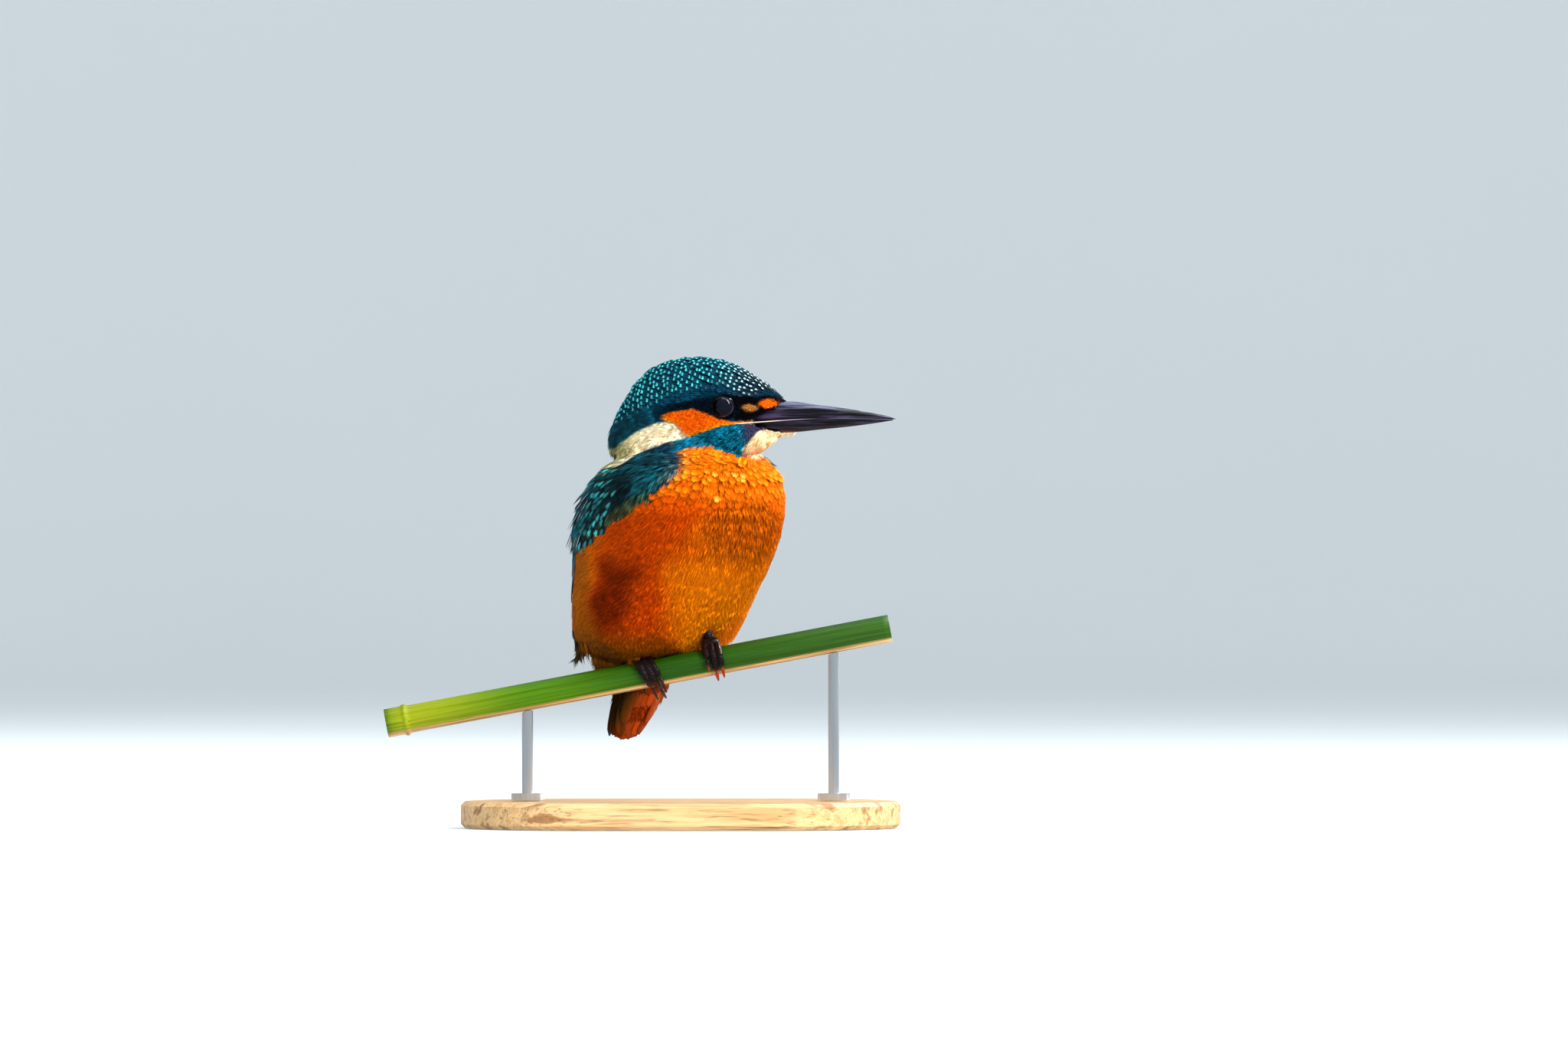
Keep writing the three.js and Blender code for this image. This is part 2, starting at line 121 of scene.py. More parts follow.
def placed(name, data):
    """Puts a mesh, a lamp or a camera in the scene."""
    thing = bpy.data.objects.new(name, data)
    bpy.context.scene.collection.objects.link(thing)
    return thing


def smoothed(mesh):
    mesh.polygons.foreach_set("use_smooth", [True] * len(mesh.polygons))
    return mesh


def mesh_of(name, points, faces):
    """A smooth mesh from points in metres."""
    mesh = bpy.data.meshes.new(name)
    mesh.from_pydata([tuple(p) for p in points], [], faces)
    mesh.validate()
    return smoothed(mesh)


def turns(sides):
    """Even angles once round, in radians."""
    return [2 * math.pi * k / sides for k in range(sides)]


def tube_faces(rings, sides, closed=False):
    """Faces between rings of points, with the last ring joined to the first where closed."""
    faces = []
    for row in range(rings if closed else rings - 1):
        here, then = row * sides, (row + 1) % rings * sides
        for k in range(sides):
            after = (k + 1) % sides
            faces.append((here + k, here + after, then + after, then + k))
    return faces


camera_data = bpy.data.cameras.new("camera")
camera_data.lens = CAMERA_LENS
camera_data.sensor_width = CAMERA_GATE
camera_data.clip_end = 50
camera = placed("camera", camera_data)
camera.location = SUBJECT - Vector((0, CAMERA_BACK, 0))
camera.rotation_euler = (math.pi / 2, 0, 0)
bpy.context.scene.camera = camera

dish_profile = [(0.001, DISH_LEVEL), (1.2, DISH_LEVEL), (DISH_RADIUS - DISH_CURVE, DISH_LEVEL)]
for step in range(1, DISH_STEPS + 1):
    turn = math.pi / 2 * step / DISH_STEPS
    reach = DISH_RADIUS - DISH_CURVE + DISH_CURVE * math.sin(turn)
    dish_profile.append((reach, DISH_CURVE * (1 - math.cos(turn))))
dish_profile.append((DISH_RADIUS, DISH_RIM))
dish_turns = turns(96)
dish_points = [(r * math.cos(a), r * math.sin(a), z) for r, z in dish_profile for a in dish_turns]
dish_faces = tube_faces(len(dish_profile), len(dish_turns))
dish = placed("floor", mesh_of("floor", dish_points, dish_faces))
card, tree, shader = finish("white card", 0.9, 0.1, emission_strength=0.3)
shader.inputs["Emission Color"].default_value = paint(236, 244, 250)
mottle = noise_of(tree, place_of(tree), 3.0)
dressed(tree, shader, blended(tree, mottle, paint(186, 192, 194), paint(192, 197, 199)))
dish.data.materials.append(card)
dish.visible_glossy = False

world = bpy.data.worlds.new("studio")
bpy.context.scene.world = world
world.use_nodes = True
world.node_tree.nodes["Background"].inputs["Color"].default_value = paint(226, 238, 246)
world.node_tree.nodes["Background"].inputs["Strength"].default_value = 0.5

LAMPS = {  # name: (place, width, height, watts, colour, whether it shows in glass and horn)
    "key": ((1.2, -1.5, 1.3), 0.6, 0.6, 38, (255, 250, 242), False),
    "fill": ((-1.6, -2.0, 0.6), 1.4, 1.4, 20, (242, 248, 255), False),
    "rim_right": ((1.05, 0.64, 0.88), 0.2, 1.3, 34, (250, 250, 250), True),
    "rim_left": ((-1.3, 1.1, 0.8), 0.7, 0.7, 20, (244, 250, 255), False),
    "top": ((0.1, 0.1, 1.7), 1.0, 1.0, 12, (246, 250, 255), True),
    "low": ((0.9, -1.5, 0.1), 0.7, 0.7, 44, (255, 246, 232), False),
    "catchlight": ((0.72, -0.6, 1.2), 0.24, 1.0, 16, (246, 250, 255), True),
}
for name, (spot, width, height, watts, tone, mirrored) in LAMPS.items():
    lamp_data = bpy.data.lights.new(name, "AREA")
    lamp_data.shape = "RECTANGLE"
    lamp_data.size = width
    lamp_data.size_y = height
    lamp_data.energy = watts
    lamp_data.color = paint(*tone)[:3]
    lamp = placed(name, lamp_data)
    lamp.location = spot
    lamp.rotation_euler = (SUBJECT - Vector(spot)).to_track_quat("-Z", "Y").to_euler()
    lamp.visible_glossy = mirrored
bpy.context.scene.view_settings.view_transform = "Standard"

# ------------------------------------------------------------------ the stand
# A flat base of oiled ash with two brushed steel rods let into it, which hold the reed from below.
# The base is sawn, rounded at its ends and chamfered; the rods are pressed in through small flanges.

WOOD_LIGHT = paint(196, 160, 112)
WOOD_MIDDLE = paint(180, 140, 92)
WOOD_DARK = paint(140, 100, 60)


def ramp(tree, factor, stops, smooth=True):
    """Colours or shades set along a factor; stops are (place, colour)."""
    made = node(tree, "ShaderNodeValToRGB", {0: factor})
    made.color_ramp.interpolation = "EASE" if smooth else "LINEAR"
    while len(made.color_ramp.elements) < len(stops):
        made.color_ramp.elements.new(0.5)
    for element, (place, colour) in zip(made.color_ramp.elements, stops):
        element.position = place
        element.color = colour if len(colour) == 4 else (*colour, 1)
    return made.outputs["Color"]


def grey(value):
    return (value, value, value, 1)


def times(tree, one, other):
    """One colour multiplied by another."""
    links = {0: 1.0, 6: one, 7: other}
    return node(tree, "ShaderNodeMix", links, data_type="RGBA", blend_type="MULTIPLY").outputs[2]


def drawn_out(tree, place, scale):
    """A place scaled axis by axis, so that a pattern on it is drawn out along the least scaled one."""
    return node(tree, "ShaderNodeMapping", {0: place, "Scale": scale}).outputs[0]


def attribute(tree, name, output="Color"):
    return node(tree, "ShaderNodeAttribute", attribute_name=name).outputs[output]


def grained(name, rough, shine, scale, stops, relief=None, detail=2.0, cells=False, tinted=False, **sockets):
    """A finish toned by a fine grain or by small cells, over the piece's own tint where it has one."""
    material, tree, shader = finish(name, rough, shine, **sockets)
    place = place_of(tree)
    if isinstance(scale, tuple):
        place, scale = drawn_out(tree, place, scale), 1.0
    if cells:
        grain = node(tree, "ShaderNodeTexVoronoi", {0: place, "Scale": scale}).outputs["Distance"]
    else:
        grain = noise_of(tree, place, scale, detail)
    tone = ramp(tree, grain, stops)
    if tinted:
        tone = times(tree, attribute(tree, "Tint"), tone)
    if relief is None:
        dressed(tree, shader, tone)
    else:
        dressed(tree, shader, tone, grain, *relief)
    return material


wood, tree, shader = finish("oiled ash", 0.42, 0.4)
place = place_of(tree)
rings = noise_of(tree, drawn_out(tree, place, (9, 190, 150)), 1.6, 5, 0.6)
pores = noise_of(tree, drawn_out(tree, place, (90, 2600, 1400)))
ring_tone = ramp(tree, rings, [(0.36, WOOD_DARK), (0.5, WOOD_LIGHT), (0.62, WOOD_MIDDLE)])
pore_tone = ramp(tree, pores, [(0.3, grey(0.55)), (0.46, grey(1))])
dressed(tree, shader, times(tree, ring_tone, pore_tone), pores, 0.0002, 0.5)
steel_tones = [(0.2, paint(226, 229, 233)), (0.8, paint(240, 243, 247))]
steel = grained(
    "brushed steel", 0.34, 0.5, (1500, 1500, 30), steel_tones, (0.000004, 0.2), detail=3, metallic=1.0
)
for name, material, slot in (
    ("stand_base", wood, "wood"),
    ("stand_rod_left", steel, "steel"),
    ("stand_rod_right", steel, "steel"),
):
    stand_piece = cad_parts[name]
    stand_piece.data.materials.clear()
    stand_piece.data.materials.append(material)

# ------------------------------------------------------------------ the reed
# A cut length of green reed stem, ribbed along its length, with one joint near its left end where the
# old leaf sheath was trimmed off. Its underside has dried to a tan stripe.

REED_AT = Vector((0, 0, 48 * MM))
REED_SLOPE = math.radians(10.7)
REED_RADIUS = 4.15
REED_ENDS = (-90.0, 64.0)
REED_JOINT = -84.0
REED_SIDES = 120
REED_RIBS = 30
reed_along = Vector((math.cos(REED_SLOPE), 0, math.sin(REED_SLOPE)))
reed_up = Vector((-math.sin(REED_SLOPE), 0, math.cos(REED_SLOPE)))


def reed_radius(x, turn):
    """The stem's radius at x along it, at an angle round it, with its ribs and the joint's ring."""
    ring = 0.62 * math.exp(-(((x - REED_JOINT) / 0.75) ** 2))
    sheath = 0.16 / (1 + math.exp((x - REED_JOINT) * 3))
    rib = 0.035 * math.cos(REED_RIBS * turn) + 0.02 * math.cos(47 * turn + 1)
    return REED_RADIUS - 0.06 + ring + sheath + rib


def reed_ring(x, radii):
    """Points round the stem at x along it, at a radius for each angle."""
    ring = []
    for turn, radius in zip(turns(REED_SIDES), radii):
        across = Vector((0, -math.sin(turn), 0)) + reed_up * math.cos(turn)
        ring.append(REED_AT + (reed_along * x + across * radius) * MM)
    return ring


def share_of(tree, value, low, high, most=1.0):
    """How far a value has come from low to high, from nothing to most."""
    links = {0: value, "From Min": low, "From Max": high, "To Max": most}
    return node(tree, "ShaderNodeMapRange", links).outputs[0]


def piece(name, mesh, material=None):
    """Puts a finished mesh in the scene as a piece of the model."""
    thing = placed(name, mesh)
    if material is not None:
        mesh.materials.clear()
        mesh.materials.append(material)
    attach(thing, "root")
    return thing


joint_stations = [REED_JOINT + quarter / 4 for quarter in range(-9, 10)]
reed_stations = sorted(set(np.linspace(*REED_ENDS, 78).tolist() + joint_stations))
reed_points = []
for x in reed_stations:
    reed_points += reed_ring(x, [reed_radius(x, turn) for turn in turns(REED_SIDES)])
reed_faces = tube_faces(len(reed_stations), REED_SIDES)
last_ring = (len(reed_stations) - 1) * REED_SIDES
for x, start, sense in ((REED_ENDS[0], 0, -1), (REED_ENDS[1], last_ring, 1)):
    rings = [list(range(start, start + REED_SIDES))]
    for share, inset in ((0.93, 0.0), (0.72, 0.0), (0.66, 0.9), (0.3, 1.1)):
        rings.append(list(range(len(reed_points), len(reed_points) + REED_SIDES)))
        reed_points += reed_ring(x - sense * inset, [REED_RADIUS * share] * REED_SIDES)
    for outer, inner in zip(rings, rings[1:]):
        for k in range(REED_SIDES):
            after = (k + 1) % REED_SIDES
            quad = (outer[k], outer[after], inner[after], inner[k])
            reed_faces.append(quad if sense > 0 else quad[::-1])
    reed_faces.append(tuple(rings[-1]) if sense > 0 else tuple(rings[-1][::-1]))

green, tree, shader = finish("reed stem", 0.45, 0.14)
links = {0: place_of(tree), "Location": REED_AT, "Rotation": (0, -REED_SLOPE, 0)}
stem = node(tree, "ShaderNodeMapping", links, vector_type="TEXTURE").outputs[0]
stem_axes = node(tree, "ShaderNodeSeparateXYZ", {0: stem}).outputs
along_tone = ramp(
    tree,
    share_of(tree, stem_axes["X"], REED_ENDS[0] * MM, REED_ENDS[1] * MM),
    [
        (0.0, paint(92, 114, 8)),
        (0.04, paint(122, 132, 12)),
        (0.3, paint(62, 104, 2)),
        (0.55, paint(28, 65, 7)),
        (1.0, paint(40, 74, 18)),
    ],
)
fibre = noise_of(tree, drawn_out(tree, stem, (26, 1500, 1500)), 1.0, 4, 0.65)
fibre_tone = ramp(tree, fibre, [(0.34, grey(0.62)), (0.5, grey(0.88)), (0.66, grey(1.12))])
dry_tone = ramp(tree, fibre, [(0.3, paint(120, 80, 40)), (0.7, paint(206, 170, 120))])
below = share_of(tree, stem_axes["Z"], -0.0026, -0.0034)
stem_tone = blended(tree, below, times(tree, along_tone, fibre_tone), dry_tone)
dressed(tree, shader, stem_tone, fibre, 0.0001, 0.6)
reed = piece("reed", mesh_of("reed", reed_points, reed_faces), green)
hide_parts("perch")

# ------------------------------------------------------------------ the skin
# One skin is drawn over the carved body, from forehead to tail, and the plumage is laid on it.
# It takes the carving's form less the depth of the coat; it is stained with the same markings and darkened
# as painted shade.

FLESH = ("head", "neck", "trunk", "wing_right", "wing_left", "tail", "undertail")
HEAD, NECK, TRUNK, WING_RIGHT, WING_LEFT, TAIL, UNDERTAIL = range(7)
COAT_DEPTH = np.array((0.9, 1.2, 1.35, 0.9, 0.9, 0.25, 0.7))
FACE_DEPTH = 0.45
SEAM_COVER = 0.35
WEAVE = 0.62
NECK_EASE = 0.75  # how much of the trunk's evening out the neck gets
PERCH_TOP = 48.0
HEAD_AT = np.array((9.4, -12.0, 126.7))


def axes_at(degrees):
    """Level axes ahead and to the left of something that faces from -Y, turned towards +X."""
    turn = math.radians(degrees)
    return np.array((math.sin(turn), -math.cos(turn), 0)), np.array((math.cos(turn), math.sin(turn), 0))


BODY_AHEAD, BODY_LEFT = axes_at(38)
HEAD_AHEAD, HEAD_LEFT = axes_at(72)
UP = np.array((0, 0, 1.0))


def on_head(points):
    """Millimetres ahead, left and up on the head's axes, for points in millimetres."""
    away = points - HEAD_AT
    return away @ HEAD_AHEAD, away @ HEAD_LEFT, away[:, 2]


def on_body(points):
    """Millimetres ahead, left and over the perch on the body's axes, and degrees round to the side."""
    ahead, left, up = points @ BODY_AHEAD, points @ BODY_LEFT, points[:, 2] - PERCH_TOP
    return ahead, left, up, np.degrees(np.arctan2(np.abs(left), ahead))


def arrays_of(mesh):
    """Points in millimetres, normals and edges of a mesh."""
    points = np.empty(len(mesh.vertices) * 3)
    normals = np.empty(len(mesh.vertices) * 3)
    edges = np.empty(len(mesh.edges) * 2, int)
    mesh.vertices.foreach_get("co", points)
    mesh.vertex_normals.foreach_get("vector", normals)
    mesh.edges.foreach_get("vertices", edges)
    return points.reshape(-1, 3) / MM, normals.reshape(-1, 3), edges.reshape(-1, 2)


def evened(values, edges, rounds):
    """Values at points, each evened out with its neighbours'."""
    count = np.bincount(edges.ravel(), minlength=len(values)).astype(float)
    count = count.reshape((-1,) + (1,) * (values.ndim - 1))
    for _ in range(rounds):
        total = np.zeros_like(values)
        np.add.at(total, edges[:, 0], values[edges[:, 1]])
        np.add.at(total, edges[:, 1], values[edges[:, 0]])
        values = 0.5 * values + 0.5 * total / np.maximum(count, 1)
    return values


def unit(vectors):
    return vectors / np.maximum(np.linalg.norm(vectors, axis=-1, keepdims=True), 1e-9)


def made_plain(thing):
    """The plain mesh that a thing's modifiers make of it; the thing itself is taken away."""
    mesh = bpy.data.meshes.new_from_object(thing.evaluated_get(bpy.context.evaluated_depsgraph_get()))
    bpy.data.objects.remove(thing)
    return mesh


def one_shell(mesh):
    """Keeps only the largest shell of a mesh, so that no sealed hollow is left inside it."""
    work = bmesh.new()
    work.from_mesh(mesh)
    waiting = set(work.verts)
    shells = []
    while waiting:
        shell = [waiting.pop()]
        for vertex in shell:
            for edge in vertex.link_edges:
                other = edge.other_vert(vertex)
                if other in waiting:
                    waiting.remove(other)
                    shell.append(other)
        shells.append(shell)
    shells.sort(key=len)
    spare = [vertex for shell in shells[:-1] for vertex in shell]
    bmesh.ops.delete(work, geom=spare, context="VERTS")
    work.to_mesh(mesh)
    work.free()


def swollen(work, amount):
    """Closes the joints of loose carved pieces and moves their outside out by millimetres."""
    bmesh.ops.remove_doubles(work, verts=work.verts, dist=1e-6)
    work.normal_update()
    for vertex in work.verts:
        vertex.co += vertex.normal * amount * MM
    mesh = bpy.data.meshes.new("swollen")
    work.to_mesh(mesh)
    work.free()
    return mesh


flesh = bmesh.new()
flesh_part = []
for index, name in enumerate(FLESH):
    flesh.from_mesh(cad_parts[name].data)
    flesh.faces.ensure_lookup_table()
    flesh_part += [index] * (len(flesh.faces) - len(flesh_part))
carved = BVHTree.FromBMesh(flesh)
flesh_thing = placed("flesh", swollen(flesh, SEAM_COVER))
remesh = flesh_thing.modifiers.new("weave", "REMESH")
remesh.mode = "VOXEL"
remesh.voxel_size = WEAVE * MM
skin_mesh = made_plain(flesh_thing)
one_shell(skin_mesh)

skin_at, skin_out, skin_edges = arrays_of(skin_mesh)
skin_part = np.array([flesh_part[carved.find_nearest(Vector(p) * MM)[2]] for p in skin_at])
skin_at = np.where(skin_part[:, None] < TAIL, evened(skin_at, skin_edges, 3), skin_at)
of_trunk = np.where(skin_part == TRUNK, 1.0, np.where(skin_part == NECK, NECK_EASE, 0.0))
of_trunk = evened(of_trunk, skin_edges, 8)[:, None] ** 2
skin_at = skin_at + (evened(skin_at, skin_edges, 40) - skin_at) * of_trunk

# Where the wing's fore edge lies round the flank, in degrees from straight ahead, by height.
WING_EDGE = (
    (2, 161), (8, 151), (16, 147), (26, 139), (34, 125), (37, 112), (41, 98), (44, 86),
    (47, 76), (49.5, 67), (53, 54), (56, 47), (58.5, 42), (62, 38), (66, 43), (72, 50),
)  # fmt: skip
LEFT_WING_BACK = 13
# Outlines of the head's markings, ahead against up.
EAR_TOP = (
    (-11.5, -4), (-10.5, -2.8), (-8, -1.9), (-1.5, -1.1), (3, -2.7), (7.5, -4.5), (11, -5), (17, -4.7),
)  # fmt: skip
EAR_FOOT = (
    (-11.5, -4), (-9.5, -4.8), (-7.5, -5.5), (-5.5, -7.8), (-3.7, -9.6),
    (-0.5, -8.7), (4.5, -6.8), (9.5, -5.8), (17, -5.2),
)  # fmt: skip
NECK_TOP = (
    (-29, -13.5), (-25.5, -11.3), (-22, -9.2), (-18.5, -7.4), (-13.5, -5.5),
    (-10, -5), (-7.5, -5.6), (-5.5, -7.8), (-3.7, -9.6),
)  # fmt: skip
NECK_FOOT = (
    (-29, -20.5), (-26.5, -19), (-23.5, -17.6), (-19.5, -14.4), (-13, -12.1), (-7.5, -10.6), (-3.7, -9.6),
)  # fmt: skip
CHEEK_FOOT = (
    (-7.5, -14.2), (-4, -13.2), (-0.5, -12.6), (5, -12.8), (9, -13),
    (11.5, -14), (14, -16.2), (17.3, -12.8), (19.5, -11),
)  # fmt: skip
CROWN_FOOT = (
    (-31, -6), (-14.5, -2.5), (-9.5, -0.2), (-2.5, 1.1), (4, 2.6),
    (8.5, 3.4), (12.5, 2.2), (16, 1.9), (20, 2.6), (24, 1.6),
)  # fmt: skip
# Where the throat's pale feathers begin, up against ahead.
THROAT_BACK = ((-17, 14), (-14, 11.5), (-12.8, 12), (-11.2, 13.7), (-9.4, 15.3), (-7.6, 17), (-6.4, 21))
EYE_AT = (7.7, -0.8)
SHADE_BAR_PITCH = 3.4


def along(value, stops):
    """The height of an outline at a place along it."""
    places, heights = zip(*stops)
    return np.interp(value, places, heights)


def rise(value, low, high):
    """0 below low, 1 over high, eased between."""
    share = np.clip((value - low) / (high - low), 0, 1)
    return share * share * (3 - 2 * share)


def within(value, low, high, soft):
    """1 between low and high and 0 beyond them, eased over a soft edge."""
    return rise(value, low - soft, low + soft) * (1 - rise(value, high - soft, high + soft))


def mixed(base, colour, share):
    """Tones taken towards a colour by a share at each point."""
    return base + (np.array(colour, float) - base) * share[:, None]


def cloud(points, size, offset=0.0):
    """Soft random shade from -1 to 1, with lumps of about this size."""
    return np.array([noise.noise(Vector(p) / size + Vector((offset, 0, 0))) for p in points])


def streaky(points, lie, size, offset=0.0):
    """A soft random shade drawn out six times along the lie of the feathers."""
    drawn = points - lie * (np.sum(points * lie, axis=1) * 0.83)[:, None]
    return cloud(drawn, size, offset)


def wing_edge(left, up):
    """How far round the flank the folded wing begins, in degrees, at a height."""
    return along(up, WING_EDGE) + LEFT_WING_BACK * rise(left, -3, 3)


TAIL_ROOT = BODY_AHEAD * -18.5 + BODY_LEFT * 0.8 + UP * (PERCH_TOP + 8)
TAIL_LIE = unit(BODY_AHEAD * -11.9 + BODY_LEFT * 1.2 + UP * -30.2)
TAIL_BACK = unit(np.cross(BODY_LEFT, TAIL_LIE))
TAIL_BACK *= -np.sign(TAIL_BACK @ BODY_AHEAD)


def wing_tone(border, turn, up, fuzz):
    """The folded wing: blue and greyish at its fore edge, black along its middle, teal behind."""
    tone = np.tile(np.array((3.0, 78, 88)), (len(turn), 1))
    tone = mixed(tone, (5, 66, 82), rise(up, 56, 64) * (1 - rise(turn, 60, 84)))
    tone = mixed(tone, (0, 26, 32), within(turn + fuzz * 3, 66, 84, 6) * within(up, 42, 58, 3) * 0.85)
    tone = mixed(tone, (84, 92, 96), (1 - rise(border, 1, 9)) * rise(up, 52, 58) * 0.7)
    tone = mixed(tone, (1, 6, 10), 1 - rise(up, 12, 20))
    tone = mixed(tone, (92, 84, 40), (1 - rise(border, 0, 5)) * (1 - rise(up, 50, 54)) * 0.7)
    return tone


def markings(points, part):
    """The bird's colours at points in millimetres on its outline, for the skin and the feathers, with
    painted shade and light on the belly, breast and tail.
    """
    ahead, left, up, turn = on_body(points)
    p, side, q = on_head(points)
    fuzz = cloud(points, 1.1) * 0.8 + cloud(points, 3.0, 7) * 0.6
    broad = cloud(points, 9.0, 3)
    p, q = p + fuzz * 0.5, q + fuzz * 0.35
    to_right = np.where(left < 0, turn, -turn)
    tone = np.tile(np.array((228.0, 105, 3)), (len(points), 1))
    tone = mixed(tone, (240, 116, 6), rise(up, 46, 60) * (1 - rise(turn, 20, 60)))
    # More golden low on the front and on the bird's left side: partly the belly's own colour, partly painted
    # light where the lamps fall.
    gold_and_painted_light = (1 - rise(up + broad * 4, 20, 42)) * (1 - rise(to_right, 20, 70))
    tone = mixed(tone, (252, 142, 4), gold_and_painted_light * 0.95)
    # A dark rust band with a darker core on the bird's right flank only: partly the flank's own deeper
    # rufous, partly painted shade.
    slanted = to_right + broad * 10 - (56 + (50 - up) * 1.1)
    tone = mixed(tone, (198, 66, 0), within(slanted, -34, 20, 12) * within(up + broad * 3, 6, 50, 7) * 0.95)
    flank_shade_core = within(slanted, -13, 15, 8) * within(up + broad * 3, 11, 32, 5)
    tone = mixed(tone, (104, 26, 0), flank_shade_core * 0.75)
    # Arched dark bars across the breast: painted shade between the rows of feathers.
    arcs = up + 0.0022 * (to_right - 6) ** 2 + fuzz * 0.25
    shade_barred = within(arcs, 32, 49, 2) * within(to_right, -38, 24, 12)
    shade_bars = rise(np.sin(arcs * 2 * np.pi / SHADE_BAR_PITCH), 0.15, 0.85) * shade_barred
    tone = mixed(tone, (74, 20, 0), shade_bars * 0.95)
    edge_gold = rise(turn + broad * 8, 98, 116) * (1 - rise(up, 44, 54))
    tone = mixed(tone, (160, 84, 4), edge_gold * 0.9)
    # Dark brown low on the bird's right side by the perch: painted shade.
    tone = mixed(tone, (104, 60, 4), (1 - rise(up, 3, 14)) * rise(to_right, 42, 80) * 0.85)
    border = turn - wing_edge(left, up) + fuzz * 3
    wing_shade = rise(border, -8, -2) * rise(up, 38, 46) * (1 - rise(up, 50, 54))
    tone = mixed(tone, (120, 100, 50), wing_shade * 0.6)
    tone = mixed(tone, (170, 120, 110), rise(border, -9, -2) * rise(up, 52, 56) * 0.5)
    tone = mixed(tone, (6, 50, 70), rise(border, -4, 1) * (up > 1))
    azure = within(np.abs(left), -99, 8.5, 2.5) * (ahead < 0) * rise(border, 0, 8)
    tone = mixed(tone, (10, 150, 205), azure * (1 - rise(up, 62, 70)) * (up > -2))
    under = part == UNDERTAIL
    tail = part == TAIL
    below = under | tail
    tone[under] = (132, 46, 1)
    behind = (points[tail] - TAIL_ROOT) @ TAIL_BACK
    lateral = (points[below] - TAIL_ROOT) @ BODY_LEFT
    tone[tail] = np.where((behind > 0.7)[:, None], (6.0, 60, 112), (156.0, 52, 1))
    rufous = tone[below][:, 2] < 50
    # The rufous of the undertail and tail is darkened along one side as painted shade, and lightened at the
    # other edge as painted light.
    shaded = (1 - rise(lateral, -6.5, 0.5)) * 0.95 * rufous
    tone[below] = mixed(tone[below], (30, 24, 2), shaded)
    tone[below] = mixed(tone[below], (176, 84, 8), rise(lateral, 4.5, 7.5) * rufous * 0.7)
    wings = (part == WING_RIGHT) | (part == WING_LEFT)
    tone[wings] = wing_tone(border[wings], turn[wings], up[wings], fuzz[wings])
    above = (q > along(p, CHEEK_FOOT)) & (up > 56) & (p > -7.5)
    above |= (part == HEAD) | (q > along(p, NECK_FOOT)) & (p < -3)
    head = np.tile(np.array((3.0, 48, 68)), (len(points), 1))
    head = mixed(head, (4, 62, 76), rise(-p, 8, 20))
    head = mixed(head, (1, 16, 28), within(q, -3.4, along(p, CROWN_FOOT), 0.8) * rise(p, -16, -4))
    cheek = within(q, along(p, CHEEK_FOOT) - 3, np.maximum(along(p, EAR_FOOT), along(p, NECK_FOOT)), 0.35)
    cheek *= rise(p, -9.5, -8)
    head = mixed(head, (5, 98, 126), cheek)
    head = mixed(head, (60, 56, 84), cheek * rise(p, 10.5, 15))
    ear = within(q, along(p, EAR_FOOT), along(p, EAR_TOP), 0.3) * within(p, -11, 15.5, 0.7)
    head = mixed(head, (246, 98, 2), ear)
    ear_gold = ear * (1 - rise(q, along(p, EAR_FOOT), along(p, EAR_FOOT) + 1.6))
    head = mixed(head, (255, 158, 14), ear_gold * 0.7)
    patch = within(q, along(p, NECK_FOOT), along(p, NECK_TOP), 0.4) * (1 - rise(p, -4.6, -3.4))
    patch *= rise(np.abs(side) + fuzz, 2.5, 5)
    head = mixed(head, (255, 234, 194), patch)
    head = mixed(head, (170, 164, 96), patch * (1 - rise(p - q * 0.4 + broad * 3, -24, -13)) * 0.75)
    throat = rise(p - along(q, THROAT_BACK), -0.4, 0.4) * (1 - rise(q, -6.6, -6.0)) * rise(q, -17, -15)
    head = mixed(head, (236, 208, 156), throat)
    lores = within(p, 10.4, 26, 0.6) * within(q, -4.6, along(p, CROWN_FOOT) + 0.4, 0.4)
    head = mixed(head, (4, 4, 9), lores)
    frayed = np.abs(fuzz) * 0.35
    amber = 1 - rise(np.hypot((p - 19.6) / 2.7, (q - 0.45) / 1.5) + frayed, 0.75, 1.25)
    head = mixed(head, (250, 104, 4), amber)
    buff = 1 - rise(np.hypot((p - 14.8) / 2.4, (q + 0.8) / 1.3) + frayed, 0.6, 1.3)
    head = mixed(head, (206, 128, 56), buff * 0.85)
    rim = 1 - rise(np.hypot((p - EYE_AT[0]) / 4.6, (q - EYE_AT[1]) / 3.9), 0.85, 1.05)
    head = mixed(head, (8, 8, 14), rim)
    return np.where(above[:, None], head, tone)


def lie_of(points, out, part):
    """The way the feathers lie at points on the outline: from the bill back, and down to the tail."""
    up, turn = on_body(points)[2:]
    p, _, q = on_head(points)
    down = 0.62 + 0.5 * (1 - rise(turn, 25, 75)) + 0.5 * (1 - rise(up, 6, 20))
    way = -BODY_AHEAD - UP * down[:, None]
    wing = (part == WING_RIGHT) | (part == WING_LEFT)
    way[wing] = -BODY_AHEAD * 0.62 - UP
    way[(part == TAIL) | (part == UNDERTAIL)] = TAIL_LIE
    head_way = -HEAD_AHEAD - UP * (0.12 + 0.9 * rise(-p, 14, 30) + 0.35 * rise(-q, 6, 14))[:, None]
    chin = rise(p, 10, 14) * rise(-q, 6.5, 9)
    head_way -= UP * (chin * 1.1)[:, None]
    neck_way = -HEAD_AHEAD * 0.9 - UP * 0.75
    of_head = rise(up, 60, 67)
    blend = np.where(part == HEAD, 1.0, np.where(part == NECK, of_head, 0.0))[:, None]
    head_way = np.where((part == NECK)[:, None], neck_way, head_way)
    way = unit(way) * (1 - blend) + unit(head_way) * blend
    return unit(way - out * np.sum(way * out, axis=1)[:, None])


